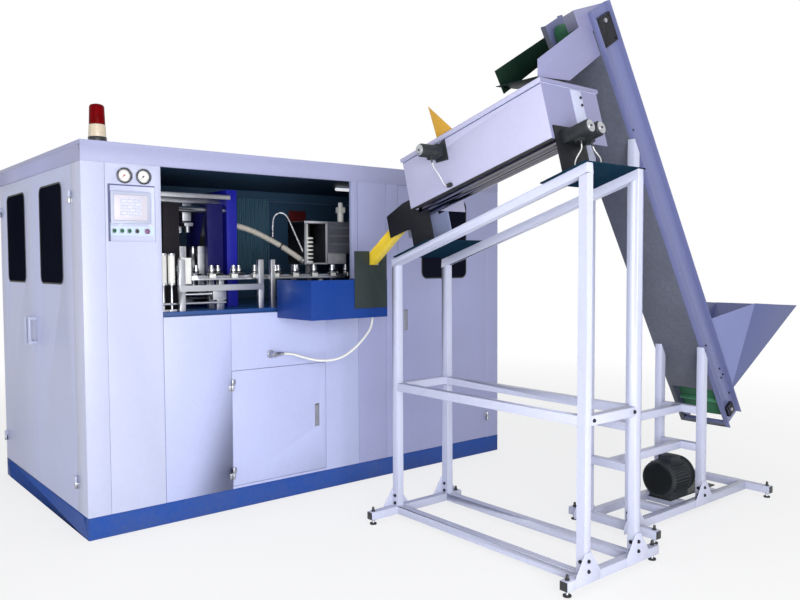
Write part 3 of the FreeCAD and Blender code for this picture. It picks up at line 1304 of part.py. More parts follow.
def elevator_stand():
    half = TUBE / 2
    base_top = FOOT_H + TUBE
    near_y, far_y = STAND_Y
    between = (near_y + half, far_y - half)
    above = elevator(box((0, 4000), (-3000, 0), (-ELEV_DEPTH - PAN_T - CLEAR, 3000)))
    parts = []
    for x in (STAND_LEFT_X, STAND_END_X):
        parts.append(bar_y(x, STAND_FOOT_Y, BASE_Z))
    for y in STAND_Y:
        side = -1 if y == near_y else 1
        parts.append(bar_x((STAND_LEFT_X + half, STAND_END_X - half), y, BASE_Z))
        for x in (STAND_LEFT_X, STAND_RIGHT_X):
            parts.append(post(x, y, (base_top, 2500)).cut(above))
            parts.append(gusset(x, y, base_top, side))
    for z in STAND_RAIL_Z:
        parts.append(bar_x((STAND_LEFT_X + half, STAND_RIGHT_X - half), sum(STAND_Y) / 2, z))
        for x in (STAND_LEFT_X, STAND_RIGHT_X):
            parts.append(bar_y(x, between, z))
    for x in STAND_BAR_X:
        parts.append(bar_y(x, between, BASE_Z))
    return group(parts)


def base_motor():
    """Foot mounted motor on its slide plate across the base of the elevator stand."""
    y = sum(STAND_Y) / 2
    base = FOOT_H + TUBE
    z = base + SLIDE_T + 12 + DRIVE_R
    slide = box(SLIDE_X, (y - 75, y + 75), (base, base + SLIDE_T))
    body = rod(V(DRIVE_X[0], y, z), X_AXIS, DRIVE_R, DRIVE_X[1] - DRIVE_X[0])
    feet = box((DRIVE_X[0] + 30, DRIVE_X[1] - 30), (y - 75, y + 75), (base + SLIDE_T, base + 60))
    lead_box = box((DRIVE_X[0] + 75, DRIVE_X[1] - 75), (y - 45, y + 45), (z, z + DRIVE_R + 25))
    shaft = rod(V(DRIVE_X[1], y, z), X_AXIS, 16, 50)
    return join([slide, body, feet, lead_box, shaft])


def levelling_feet():
    """A stem and a foot pad under each end of the base rails."""
    spots = [(x, y) for y, ends in zip(POST_Y, FEEDER_FOOT_X) for x in (ends[0] + 25, ends[1] - 25)]
    spots += [(x, y) for x in (STAND_LEFT_X, STAND_END_X)
              for y in (STAND_FOOT_Y[0] + 25, STAND_FOOT_Y[1] - 25)]
    foot = join([rod(V(), Z_AXIS, FOOT_R, 8), rod(V(), Z_AXIS, STEM_R, FOOT_H)])
    return group([moved(foot, V(x, y, 0)) for x, y in spots])


# ------------------------------------------------------------------- assembly
def build():
    nodes = {"base_frame": base_frame(), "corner_posts": corner_posts(),
             "roof_and_headers": roof_and_headers(), "control_panel": control_panel(),
             "front_panels": front_panels(), "rear_panels": rear_panels()}
    fixed_hinges = []
    for which in ("front", "rear"):
        door, glass, fixed = left_door(which)
        nodes[f"left_{which}_door"] = door
        nodes[f"left_{which}_window"] = glass
        fixed_hinges.extend(fixed)
    nodes["right_door"], nodes["right_window"], fixed = right_door()
    fixed_hinges.extend(fixed)
    nodes["hatch_door"], fixed = hatch_door()
    fixed_hinges.extend(fixed)
    nodes["hinge_leaves"] = group(fixed_hinges)
    nodes["door_lever"] = lever(*DOOR_LOCK)
    nodes["hatch_lever"] = lever(*HATCH_LOCK)
    nodes["pressure_gauges"] = group([piece for x in GAUGE_X for piece in gauge(x)])
    nodes["gauge_needle_left"] = needle(GAUGE_X[0])
    nodes["gauge_needle_right"] = needle(GAUGE_X[1])
    nodes["operator_screen"] = hmi_unit()
    for index in range(len(BUTTON_X)):
        nodes[f"button_{index + 1}"] = button(index)
    nodes["beacon_base"], nodes["beacon_dome"] = beacon()
    nodes["machine_bed"] = machine_bed()
    nodes["clamp_frame"] = group([clamp_frame(), blow_cylinder()])
    nodes["mould_left"] = mould_half("left")
    nodes["mould_right"] = mould_half("right")
    nodes["stretch_unit"] = stretch_unit()
    nodes["transfer_track"] = transfer_track()
    nodes["preform_carriers"] = preform_carriers()
    nodes["chain_wheel_left"] = chain_wheel(TRACK_X[0])
    nodes["chain_wheel_right"] = chain_wheel(TRACK_X[1])
    nodes["oven_housing"] = oven()
    nodes["conduits"] = conduits()
    nodes["air_fittings"] = air_fittings()
    nodes["infeed_trough"] = infeed_trough()
    nodes["guard_panels"] = guard_panels()
    nodes["drain_hose"] = cord("drain_hose", HOSE_POINTS, HOSE_R)
    nodes["feeder_stand"] = feeder_stand()
    nodes["roller_brackets"] = roller_brackets()
    nodes["preform_bin"] = preform_bin()
    nodes["roller_left"] = roller(0)
    nodes["roller_right"] = roller(1)
    nodes["drive_motors"] = drive_motors()
    nodes["paddle_wheel"] = paddle_wheel()
    nodes["preform_chute"] = preform_chute()
    nodes["bin_guard"] = bin_guard()
    nodes["feeder_cables"] = feeder_cables()
    nodes["elevator_frame"] = elevator_frame()
    nodes["elevator_belt"] = elevator_belt()
    nodes["head_drum"] = drum(DRUM_RUN[0])
    nodes["tail_drum"] = drum(DRUM_RUN[1])
    nodes["loading_hopper"] = loading_hopper()
    nodes["discharge_chute"] = discharge_chute()
    nodes["elevator_stand"] = elevator_stand()
    nodes["levelling_feet"] = levelling_feet()
    return nodes


def export(nodes):
    os.makedirs(OUT_DIR, exist_ok=True)
    for name, shape in nodes.items():
        moved(shape, ORIGIN_SHIFT).exportStep(f"{OUT_DIR}/{name}.step")
        print(name, len(shape.Solids), "solids, valid", shape.isValid(), f"{shape.Volume / 1e6:.2f} l")


export(build())
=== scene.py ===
# %% [markdown]
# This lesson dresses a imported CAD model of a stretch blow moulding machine.
# The cabinet, the preform feeder and the inclined elevator come from the frame;
# here they get paint, metal, rubber and glass, and the small things that CAD
# leaves out: eased edges, bolts, seals, fins, ribs, links and cables.

# %% Load the frame
import bpy
import bmesh
import json
import math
from mathutils import Matrix, Vector

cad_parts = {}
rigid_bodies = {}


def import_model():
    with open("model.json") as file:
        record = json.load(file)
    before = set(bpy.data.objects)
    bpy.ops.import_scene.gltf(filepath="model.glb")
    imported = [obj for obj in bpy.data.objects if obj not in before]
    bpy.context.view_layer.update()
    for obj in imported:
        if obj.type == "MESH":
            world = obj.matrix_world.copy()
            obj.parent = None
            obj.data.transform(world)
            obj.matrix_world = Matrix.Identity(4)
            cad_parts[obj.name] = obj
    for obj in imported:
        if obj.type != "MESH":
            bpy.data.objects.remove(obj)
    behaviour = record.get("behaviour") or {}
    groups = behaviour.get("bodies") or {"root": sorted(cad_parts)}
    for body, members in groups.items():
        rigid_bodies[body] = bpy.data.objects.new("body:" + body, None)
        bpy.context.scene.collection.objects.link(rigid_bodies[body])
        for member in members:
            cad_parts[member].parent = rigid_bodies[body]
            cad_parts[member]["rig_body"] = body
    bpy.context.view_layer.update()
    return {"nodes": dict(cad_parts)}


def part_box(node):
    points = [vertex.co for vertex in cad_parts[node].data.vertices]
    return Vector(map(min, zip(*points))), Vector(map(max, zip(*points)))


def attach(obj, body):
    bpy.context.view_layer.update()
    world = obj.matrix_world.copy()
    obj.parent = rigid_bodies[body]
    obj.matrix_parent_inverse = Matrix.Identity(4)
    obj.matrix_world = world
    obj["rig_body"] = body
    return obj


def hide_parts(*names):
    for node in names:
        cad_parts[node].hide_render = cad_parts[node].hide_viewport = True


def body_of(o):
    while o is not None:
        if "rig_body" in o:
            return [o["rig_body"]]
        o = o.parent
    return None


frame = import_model()
NODES = frame["nodes"]
MACHINE = "machine"

# %% [markdown]
# The CAD was drawn in millimetres from the cabinet's front left corner, and the
# frame's origin is the floor point under the cabinet's middle. Three matrices
# turn drawing millimetres into metres: one for the cabinet, one for the feeder,
# which is drawn level and tilts by 15 degrees, and one for the elevator, which
# is drawn lying down and stands at 58 degrees.

# %% Drawing places to metres
LOW_CORNER, HIGH_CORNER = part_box("base_frame")
CABINET_W = HIGH_CORNER[0] - LOW_CORNER[0]
CABINET_D = HIGH_CORNER[1] - LOW_CORNER[1]


def place(x, y, z):
    """A point given in drawing millimetres, in metres of the frame."""
    return Vector((x / 1000 - CABINET_W / 2, y / 1000 - CABINET_D / 2, z / 1000))


def at(point, degrees=0, axis="Y"):
    """The matrix that turns a thing about an axis and then sets it at a point."""
    return Matrix.Translation(point) @ Matrix.Rotation(math.radians(degrees), 4, axis)


MILLIMETRES = Matrix.Scale(0.001, 4)
CABINET = Matrix.Translation(place(0, 0, 0)) @ MILLIMETRES
FEEDER = CABINET @ at((0, -860, 1820), -15, "X")
ELEVATOR = CABINET @ at((2080, 0, 2875), 58)
print("cabinet footprint:", round(CABINET_W, 3), "x", round(CABINET_D, 3), "m")

# %% [markdown]
# The camera stands where the photographer stood: its place and heading were
# worked out from the cabinet's edges, and its focal length from their vanishing
# points. The view transform is Standard, so a colour renders as it is written.

# %% Camera
def new_object(name, data):
    made = bpy.data.objects.new(name, data)
    bpy.context.collection.objects.link(made)
    return made


camera = new_object("camera", bpy.data.cameras.new("camera"))
camera.data.sensor_width = 36.0
camera.data.lens = 34.91
camera.location = place(-1349.8, -4336.6, 1515.9)
camera.rotation_euler = (math.radians(87.37), math.radians(0.288), math.radians(-39.526))
bpy.context.scene.camera = camera
bpy.context.scene.view_settings.view_transform = "Standard"
print("camera at", [round(v, 3) for v in camera.location])

# %% [markdown]
# Shaders and shapes are both made of node trees. Four helpers keep them short:
# one feeds a node's inputs, one adds a node, one adds a row of sums, and one
# starts a group with its own inputs and outputs.

# %% Helpers for node trees
def feed(tree, node, inputs):
    """Gives inputs their values; a socket as the value becomes a link."""
    for key, value in inputs.items():
        socket = node.inputs[key]
        if isinstance(value, bpy.types.NodeSocket):
            tree.links.new(value, socket)
        else:
            socket.default_value = (*value, 1.0) if socket.type == "RGBA" else value


def add(tree, kind, inputs=None, **settings):
    """A new node with its own settings and its inputs fed."""
    node = tree.nodes.new(kind)
    for key, value in settings.items():
        setattr(node, key, value)
    feed(tree, node, inputs or {})
    return node


def sums(tree, value, *steps):
    """Runs a value through (operation, other) steps; a third item clamps the step."""
    for operation, other, *clamp in steps:
        inputs = {0: value} if other is None else {0: value, 1: other}
        value = add(tree, "ShaderNodeMath", inputs, operation=operation,
                    use_clamp=bool(clamp)).outputs[0]
    return value


SOCKET_KINDS = {float: "Float", int: "Int", tuple: "Vector"}


def new_tree(kind, name, inputs, outputs):
    """A group; an input is listed with its value, or with its kind where it has none."""
    tree = bpy.data.node_groups.new(name, kind)
    for label, value in inputs.items():
        bare = isinstance(value, str)
        socket = tree.interface.new_socket(label, in_out="INPUT", socket_type="NodeSocket" + (
            value if bare else SOCKET_KINDS[type(value)]))
        if not bare:
            socket.default_value = value
    for label, socket_kind in outputs.items():
        tree.interface.new_socket(label, in_out="OUTPUT", socket_type="NodeSocket" + socket_kind)
    return tree, tree.nodes.new("NodeGroupInput").outputs, tree.nodes.new("NodeGroupOutput")


print("node helpers ready")

# %% [markdown]
# Powder coat is never quite flat: it has a fine orange peel, and its gloss
# drifts a little from place to place. Dust gathers in soft clouds. Both come
# from noise on Object coordinates, at the scale of the real thing, and each
# effect is a group that every finish can share.

# %% Groups: coating, dust and brushed lines
def noise(tree, vector, scale, detail=3.0, roughness=0.5):
    return add(tree, "ShaderNodeTexNoise", {"Vector": vector, "Scale": scale, "Detail": detail,
                                            "Roughness": roughness}).outputs["Fac"]


def drifting(tree, entry, pattern):
    """A roughness that follows a pattern round its middle value."""
    return sums(tree, pattern, ("SUBTRACT", 0.5), ("MULTIPLY", entry["Rough Drift"]),
                ("ADD", entry["Rough Middle"], True))


def build_coating():
    """Orange peel height, and a roughness that drifts in clouds."""
    tree, entry, leave = new_tree(
        "ShaderNodeTree", "coating",
        {"Vector": "Vector", "Peel Scale": 260.0, "Rough Middle": 0.4, "Rough Drift": 0.12},
        {"Height": "Float", "Roughness": "Float"})
    peel = noise(tree, entry["Vector"], entry["Peel Scale"], 2.0)
    cloud = noise(tree, entry["Vector"], 2.3, 5.0, 0.6)
    feed(tree, leave, {"Height": peel, "Roughness": drifting(tree, entry, cloud)})
    return tree


def build_dust():
    """Cloudy dust with finer specks; the mask grows towards the floor, so the mixed-in colour is
    stronger towards the bottom.
    """
    tree, entry, leave = new_tree(
        "ShaderNodeTree", "dust",
        {"Vector": "Vector", "Cloud Scale": 3.0, "Amount": 0.3, "Floor Reach": 0.35},
        {"Mask": "Float"})
    cloud = noise(tree, entry["Vector"], entry["Cloud Scale"], 6.0, 0.62)
    specks = noise(tree, entry["Vector"], 45.0, 3.0, 0.7)
    split = add(tree, "ShaderNodeSeparateXYZ", {0: entry["Vector"]})
    height = sums(tree, split.outputs[2], ("DIVIDE", entry["Floor Reach"]))
    more = sums(tree, 1.0, ("SUBTRACT", height, True), ("MULTIPLY", 0.9), ("ADD", 0.8))
    mask = sums(tree, cloud, ("MULTIPLY", specks), ("MULTIPLY", more),
                ("MULTIPLY", entry["Amount"]), ("MULTIPLY", 2.4, True))
    feed(tree, leave, {"Mask": mask})
    return tree


def build_brushed():
    """Fine lines drawn out along one axis: rolled, ground or brushed metal."""
    tree, entry, leave = new_tree(
        "ShaderNodeTree", "brushed_lines",
        {"Vector": "Vector", "Stretch": (3, 300, 300), "Rough Middle": 0.3, "Rough Drift": 0.2},
        {"Height": "Float", "Roughness": "Float"})
    scaled = add(tree, "ShaderNodeVectorMath", {0: entry["Vector"], 1: entry["Stretch"]},
                 operation="MULTIPLY")
    lines = noise(tree, scaled.outputs[0], 1.0, 3.0, 0.6)
    feed(tree, leave, {"Height": lines, "Roughness": drifting(tree, entry, lines)})
    return tree


COATING = build_coating()
DUST = build_dust()
BRUSHED = build_brushed()
print("groups", COATING.name, DUST.name, BRUSHED.name)

# %% [markdown]
# One recipe makes every painted finish: the paint's colour, a dusty colour
# mixed in by the dust group, and the coating's peel as a bump. Colours are
# written as read off a screen, and the recipe turns them into linear values.

# %% Painted finishes
def srgb(red, green, blue):
    """A colour as read off a screen, 0 to 255, in the linear values Blender mixes."""
    def linear(value):
        share = value / 255
        return share / 12.92 if share <= 0.04045 else ((share + 0.055) / 1.055) ** 2.4
    return linear(red), linear(green), linear(blue)


def start_material(name):
    material = bpy.data.materials.new(name)
    material.use_nodes = True
    tree = material.node_tree
    coords = add(tree, "ShaderNodeTexCoord").outputs["Object"]
    return material, tree, tree.nodes["Principled BSDF"], coords


def mix_colour(tree, factor, first, second):
    return add(tree, "ShaderNodeMix", {"Factor": factor, 6: first, 7: second},
               data_type="RGBA").outputs[2]


def dusty(tree, coords, colour, dirty, amount, cloud_scale=3.0):
    grime = add(tree, "ShaderNodeGroup", {"Vector": coords, "Amount": amount,
                                          "Cloud Scale": cloud_scale}, node_tree=DUST)
    return mix_colour(tree, grime.outputs[0], colour, dirty)


def bumped(tree, height, strength, distance):
    return add(tree, "ShaderNodeBump", {"Strength": strength, "Distance": distance,
                                        "Height": height}).outputs[0]


PEEL_DEPTH, LINE_DEPTH = 0.0006, 0.0003   # metres, of the bumps of paint and of metal


def paint(name, screen_colour, rough=0.38, drift=0.12, dust=0.25, peel=260.0, bump=0.12,
          dust_colour=None, shine=0.5):
    material, tree, shader, coords = start_material(name)
    colour = srgb(*screen_colour)
    dirty = srgb(*dust_colour) if dust_colour else tuple(0.5 * c + 0.06 for c in colour)
    coat = add(tree, "ShaderNodeGroup", {"Vector": coords, "Peel Scale": peel,
                                         "Rough Middle": rough, "Rough Drift": drift},
               node_tree=COATING)
    feed(tree, shader, {"Base Color": dusty(tree, coords, colour, dirty, dust),
                        "Roughness": coat.outputs["Roughness"], "Specular IOR Level": shine,
                        "Normal": bumped(tree, coat.outputs["Height"], bump, PEEL_DEPTH)})
    return material


SHEET_PAINT = paint("cabinet_sheet_paint", (184, 191, 229), 0.36)
POST_PAINT = paint("post_and_column_paint", (192, 197, 224), 0.36)
# darker copy of the sheet paint for header and roof: painted shade
HEADER_SHADE_PAINT = paint("header_painted_shade", (160, 163, 198), 0.4, shine=0.35)
# dark paint for lines of painted shadow
SHADOW_LINE_PAINT = paint("painted_shadow_line_paint", (88, 92, 128), 0.4)
# darker copy of the sheet paint for the right of the front, the right door and the right posts:
# painted shade
SHADED_SHEET = paint("right_side_painted_shade", (162, 166, 206), 0.36)
PLINTH_PAINT = paint("plinth_blue_paint", (22, 74, 160), 0.45, dust=0.5, shine=0.1)
TROUGH_PAINT = paint("trough_blue_paint", (10, 56, 136), 0.36, shine=0.12)
TUBE_PAINT = paint("stand_tube_paint", (195, 199, 222), 0.34)
YELLOW_PAINT = paint("chute_yellow_paint", (244, 212, 54), 0.3)
GUARD_YELLOW = paint("bin_guard_yellow_paint", (204, 154, 34), 0.36)
GUARD_SLATE = paint("guard_slate_paint", (30, 42, 42), 0.4, shine=0.3)
GREEN_PAINT = paint("guard_green_paint", (6, 34, 24), 0.42, shine=0.03)
BLACK_PAINT = paint("bracket_black_paint", (14, 16, 24), 0.5, shine=0.2)
DECK_TEAL = paint("deck_teal_paint", (4, 40, 60), 0.5, shine=0.0)
CHEEK_BLUE = paint("cheek_grey_blue_paint", (150, 160, 200), 0.4)
HOPPER_PAINT = paint("hopper_paint", (118, 126, 174), 0.35)
# darker copy of the hopper paint: painted shade
HOPPER_SHADE = paint("hopper_painted_shade", (80, 90, 142))
BIN_PAINT = paint("bin_lavender_paint", (184, 184, 214), 0.35)
# darker copy of the bin's lavender: painted shade
BIN_SHADE_PAINT = paint("bin_painted_shade", (134, 135, 172), 0.36)
CHANNEL_PAINT = paint("channel_paint", (106, 112, 156), 0.36)
PAN_SHEET = paint("speckled_pan_sheet", (64, 68, 82), 0.5, dust=1.0, peel=80.0, bump=0.3,
                  dust_colour=(98, 102, 116))
MOTOR_PAINT = paint("motor_green_paint", (26, 32, 36), 0.5, dust=0.3, shine=0.25)
# dark paint for the cabinet's inside: painted shade
LINING_SHADE_PAINT = paint("lining_painted_shade", (62, 100, 136), 0.5, dust=0.3)
OVEN_DARK = paint("oven_dark_inside", (20, 22, 30), 0.5, dust=0.3, shine=0.2)
TEAL_SHEET = paint("corrugated_teal_paint", (58, 112, 140), 0.4, dust=0.3)
DARK_RED = paint("dark_red_paint", (120, 34, 36), 0.3)
CLAMP_BLUE = paint("clamp_blue_paint", (12, 20, 150), 0.4, shine=0.25)
PLATEN_BLUE = paint("platen_dark_blue_paint", (6, 6, 84), 0.45, shine=0.15)
PLATEN_DARK = paint("platen_dark_paint", (22, 16, 26), 0.5, shine=0.15)
BED_PAINT = paint("bed_blue_paint", (16, 70, 140), 0.35)
OVEN_GREY = paint("oven_grey_paint", (168, 170, 178), 0.4, dust=0.35)
SLATE_PAINT = paint("oven_slate_paint", (82, 84, 96), 0.4, dust=0.35)
CONDUIT_BEIGE = paint("beige_conduit_foil", (206, 200, 190), 0.42, drift=0.4, dust=0.9,
                      peel=120.0, bump=0.9)
print("painted finishes made:", len(bpy.data.materials))

# %% [markdown]
# Bare metals differ mostly in how their surface was worked. Rolled and ground
# steel has long fine lines, so its roughness follows a stretched noise, while
# the polished rollers keep a low roughness with only a trace of drift.

# %% Metals
def metal(name, screen_colour, rough, drift, stretch=(3, 300, 300), bump=0.08):
    material, tree, shader, coords = start_material(name)
    colour = srgb(*screen_colour)
    lines = add(tree, "ShaderNodeGroup", {"Vector": coords, "Stretch": stretch,
                                          "Rough Middle": rough, "Rough Drift": drift},
                node_tree=BRUSHED)
    base = dusty(tree, coords, colour, tuple(0.55 * c for c in colour), 0.35, 6.0)
    feed(tree, shader, {"Base Color": base, "Roughness": lines.outputs["Roughness"],
                        "Metallic": 1.0,
                        "Normal": bumped(tree, lines.outputs["Height"], bump, LINE_DEPTH)})
    return material


STEEL = metal("ground_steel", (176, 178, 186), 0.34, 0.25, (300, 300, 3))
CHROME = metal("roller_chrome", (132, 130, 136), 0.16, 0.12, (200, 200, 200), 0.05)
ALUMINIUM = metal("milled_aluminium", (200, 202, 208), 0.36, 0.2)
BRIGHT_CAP = metal("cast_end_cap", (196, 198, 204), 0.3, 0.2, (60, 60, 60), 0.15)
BLACK_STEEL = metal("blackened_steel", (58, 58, 66), 0.4, 0.2, (60, 60, 60), 0.1)
GAUGE_CASE = metal("dark_chrome_case", (96, 98, 106), 0.22, 0.15, (60, 60, 60), 0.05)
MOULD_METAL = metal("mould_aluminium", (206, 208, 212), 0.3, 0.2)
CONDUIT_STEEL = metal("bright_conduit", (206, 208, 214), 0.28, 0.2, (160, 160, 160), 0.1)
print("metals made")

# %% [markdown]
# Rubber and plastic have no metal shine: the belt is a dull green with a fine
# cloth print, cables are white, and the small mouldings have a soft grain.

# %% Rubber and plastics
def plastic(name, colour, rough=0.45, drift=0.15, grain=900.0, bump=0.1, dust=0.15):
    return paint(name, colour, rough, drift, dust, grain, bump)


BELT_RUBBER = plastic("belt_green_rubber", (20, 96, 58), 0.62, 0.2, 420.0, 0.35, 0.5)
CLEAT_RUBBER = plastic("cleat_pale_green_rubber", (74, 142, 104), 0.55, 0.2, 420.0, 0.3, 0.4)
CABLE_RUBBER = plastic("cable_white_rubber", (224, 224, 222))
HOSE_RUBBER = plastic("hose_white_rubber", (226, 226, 220), 0.42)
SEAL_RUBBER = plastic("seal_black_rubber", (16, 16, 18), 0.6)
BLACK_PLASTIC = plastic("moulded_black_plastic", (26, 27, 30), 0.4)
WHITE_PLASTIC = plastic("moulded_white_plastic", (228, 228, 224), 0.35)
CREAM_PLASTIC = plastic("cream_lens_plastic", (206, 192, 168), 0.28)
DIAL_PAPER = plastic("dial_face", (240, 240, 236), 0.5)
BUTTON_GREEN = plastic("button_green_plastic", (24, 84, 60), 0.28)
BUTTON_RED = plastic("button_purple_plastic", (120, 84, 120), 0.3)
POINTER_RED = plastic("pointer_red", (170, 60, 60), 0.4)
SCREEN_FRAME = plastic("screen_frame_plastic", (176, 182, 204), 0.35)
SCREEN_PALE = plastic("screen_ground", (208, 203, 214), 0.3)
STRIP_TEAL = plastic("button_strip_teal", (196, 214, 230), 0.4)
LAMP_WHITE = plastic("inner_lamp_white", (236, 238, 240), 0.4)
feed(LAMP_WHITE.node_tree, LAMP_WHITE.node_tree.nodes["Principled BSDF"],
     {"Emission Color": srgb(246, 248, 255), "Emission Strength": 0.7})
print("plastics made")

# %% [markdown]
# The beacon's lens and the dark acrylic of the windows are skins whose depth of
# colour drifts slightly. Their shine is kept low, so that the white sky doesn't
# turn them grey at a slanting view.

# %% Lens and window
def tinted(name, first, second, cloud, rough, shine):
    """A skin whose colour drifts between two values by a noise of the given scale and detail."""
    material, tree, shader, coords = start_material(name)
    base = mix_colour(tree, noise(tree, coords, *cloud), first, second)
    feed(tree, shader, {"Base Color": base, "Roughness": rough, "Specular IOR Level": shine})
    return material


LENS_TINT = srgb(122, 2, 8)
RED_LENS = tinted("beacon_red_lens", tuple(0.45 * c for c in LENS_TINT), LENS_TINT,
                  (30.0, 2.0), 0.3, 0.04)
WINDOW_TINT = srgb(12, 14, 26)
WINDOW = tinted("window_dark_acrylic", WINDOW_TINT, tuple(1.9 * c + 0.004 for c in WINDOW_TINT),
                (1.6, 4.0, 0.6), 0.16, 0.0)
print("lens and window made")

# %% The screen's finish
def screen_glass():
    """Pale screen with rows of small marks, drawn by a brick pattern."""
    material, tree, shader, coords = start_material("screen_glass")
    turned = add(tree, "ShaderNodeMapping", {"Rotation": (math.radians(-90), 0, 0),
                                             "Vector": coords})
    bricks = add(tree, "ShaderNodeTexBrick", {
        "Scale": 1.0, "Brick Width": 0.034, "Row Height": 0.017, "Mortar Size": 0.0024,
        "Mortar Smooth": 0.1, "Bias": 0.2, "Color1": srgb(212, 209, 220),
        "Color2": srgb(190, 193, 212), "Mortar": srgb(170, 174, 200),
        "Vector": turned.outputs[0]}, offset=0.35)
    soft = sums(tree, noise(tree, coords, 60.0, 2.0), ("MULTIPLY", 0.35))
    base = mix_colour(tree, soft, bricks.outputs["Color"], srgb(244, 244, 250))
    feed(tree, shader, {"Base Color": base, "Roughness": 0.18, "Coat Weight": 0.4})
    return material


SCREEN_GLASS = screen_glass()
print("screen finish made")

# %% [markdown]
# Cords come before everything else that is added. Each is one smooth NURBS
# spline whose control points are the route's own points, so it bends like a
# hose. Three rubber leads feed the small motors, a white hose drains the
# trough, and two ribbed conduits feed the oven.

# %% A curve along a route
def route_curve(name, points, radius=0.0, finish=None):
    data = bpy.data.curves.new(name, "CURVE")
    data.dimensions = "3D"
    data.resolution_u = 10
    spline = data.splines.new("NURBS")
    spline.points.add(len(points) - 1)
    for knot, spot in zip(spline.points, points):
        knot.co = (*spot, 1)
    spline.order_u = 3
    spline.use_endpoint_u = True
    data.bevel_depth = radius
    data.bevel_resolution = 5
    data.use_fill_caps = True
    if finish:
        data.materials.append(finish)
    return new_object(name, data)


def as_metres(matrix, points):
    return [matrix @ Vector(point) for point in points]


print("curve helpers ready")

# %% The drain hose
HOSE_ROUTE = as_metres(CABINET, [
    (1200, -40, 948), (1275, -40, 948), (1350, -95, 915), (1435, -165, 893), (1530, -225, 905),
    (1615, -265, 962), (1690, -290, 1043), (1743, -300, 1115), (1743, -300, 1178)])
drain_hose = route_curve("drain_hose_rubber", HOSE_ROUTE, 0.008, HOSE_RUBBER)
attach(drain_hose, MACHINE)
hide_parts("drain_hose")
print("drain hose of", len(HOSE_ROUTE), "points")

# %% The three motor leads
ROLLER_XS = (1640, 1722)
PADDLE_LEAD = [(-80, 0, -46), (-80, 0, -70), (-81, 6, -94), (-82, 18, -116), (-81, 30, -138),
               (-75, 36, -162), (-62, 32, -182), (-44, 23, -195), (-24, 16, -199)]
ROLLER_LEAD = [(0, 0, 0), (0, 0, -20), (8, 0, -40), (26, 0, -59), (47, -1, -77), (56, -14, -99),
               (48, -31, -119), (26, -44, -129), (1, -60, -127), (-9.2, -80.3, -128)]
LEAD_ROUTES = {
    "paddle_motor_lead": [(1550 + x, -388 - run, 213 + up) for x, run, up in PADDLE_LEAD],
    "left_roller_lead": [(ROLLER_XS[0] - x, -1220 - run, up - 46) for x, run, up in ROLLER_LEAD],
    "right_roller_lead": [(ROLLER_XS[1] + x, -1220 - run, up - 46) for x, run, up in ROLLER_LEAD]}
for name, points in LEAD_ROUTES.items():
    route = as_metres(FEEDER, points)
    lead = route_curve(name, route, 0.003, CABLE_RUBBER)
    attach(lead, MACHINE)
    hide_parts("feeder_cables")
print("motor leads:", list(LEAD_ROUTES))

# %% [markdown]
# A ribbed conduit is a tube whose radius swells and shrinks along its length.
# Geometry Nodes say this in one line: the curve is cut into short steps, each
# step's radius follows a sine of the length so far, and a circle is swept along.

# %% A ribbed hose tree
def shape_tree(name, inputs):
    return new_tree("GeometryNodeTree", name, {"Geometry": "Geometry", **inputs,
                                               "Finish": "Material"}, {"Geometry": "Geometry"})


def end_tree(tree, shape, entry, leave):
    """Makes the shape real and gives it the finish."""
    real = add(tree, "GeometryNodeRealizeInstances", {0: shape})
    coated = add(tree, "GeometryNodeSetMaterial", {"Geometry": real.outputs[0],
                                                   "Material": entry["Finish"]})
    feed(tree, leave, {0: coated.outputs[0]})
    return tree


def waves(tree, length, pitch):
    return sums(tree, length, ("DIVIDE", pitch), ("MULTIPLY", 2 * math.pi), ("SINE", None))


def build_ribbed_hose():
    tree, entry, leave = shape_tree("ribbed_hose", {"Radius": 0.01, "Rib Pitch": 0.006,
                                                    "Rib Depth": 0.08, "Step": 0.0015})
    along = add(tree, "GeometryNodeSplineParameter").outputs["Length"]
    share = sums(tree, waves(tree, along, entry["Rib Pitch"]), ("MULTIPLY", entry["Rib Depth"]),
                 ("ADD", 1.0))
    steps = add(tree, "GeometryNodeResampleCurve", {"Curve": entry["Geometry"],
                                                    "Length": entry["Step"]}, mode="LENGTH")
    circle = add(tree, "GeometryNodeCurvePrimitiveCircle", {"Resolution": 20,
                                                            "Radius": entry["Radius"]})
    sweep = add(tree, "GeometryNodeCurveToMesh", {
        "Curve": steps.outputs[0], "Profile Curve": circle.outputs[0], "Scale": share,
        "Fill Caps": True})
    return end_tree(tree, sweep.outputs[0], entry, leave)


RIBBED_HOSE = build_ribbed_hose()


def run_tree(name, holder, tree, values, thickness=0.0):
    """Runs a tree on a holder object and gives back the result as a mesh."""
    modifier = holder.modifiers.new("made_by_nodes", "NODES")
    modifier.node_group = tree
    for item in tree.interface.items_tree:
        if item.in_out == "INPUT" and item.name in values:
            modifier[item.identifier] = values[item.name]
    if thickness:
        shell = holder.modifiers.new("solidify", "SOLIDIFY")
        shell.thickness = thickness
        shell.offset = 0.0
    evaluated = holder.evaluated_get(bpy.context.evaluated_depsgraph_get())
    mesh = bpy.data.meshes.new_from_object(evaluated)
    mesh.name = name
    bpy.data.objects.remove(holder)
    return mesh


print("tree for ribbed hoses:", RIBBED_HOSE.name)

# %% [markdown]
# Most added pieces are small blocks with eased edges or turned bodies. They are
# drawn in millimetres in the cabinet's, the feeder's or the elevator's frame, and
# one helper turns the drawing into a finished object.

# %% Blocks, turned bodies and finished pieces
def add_block(bm, x, y, z, ease=1.0, segments=2):
    """Block between (low, high) pairs, its edges eased."""
    middle = Vector([(low + high) / 2 for low, high in (x, y, z)])
    size = [abs(high - low) for low, high in (x, y, z)]
    matrix = Matrix.Translation(middle) @ Matrix.Diagonal((*size, 1))
    made = bmesh.ops.create_cube(bm, size=1.0, matrix=matrix)["verts"]
    if ease:
        edges = {edge for vert in made for edge in vert.link_edges}
        bmesh.ops.bevel(bm, geom=list(edges), offset=ease, segments=segments, profile=0.5,
                        affect="EDGES", clamp_overlap=True)


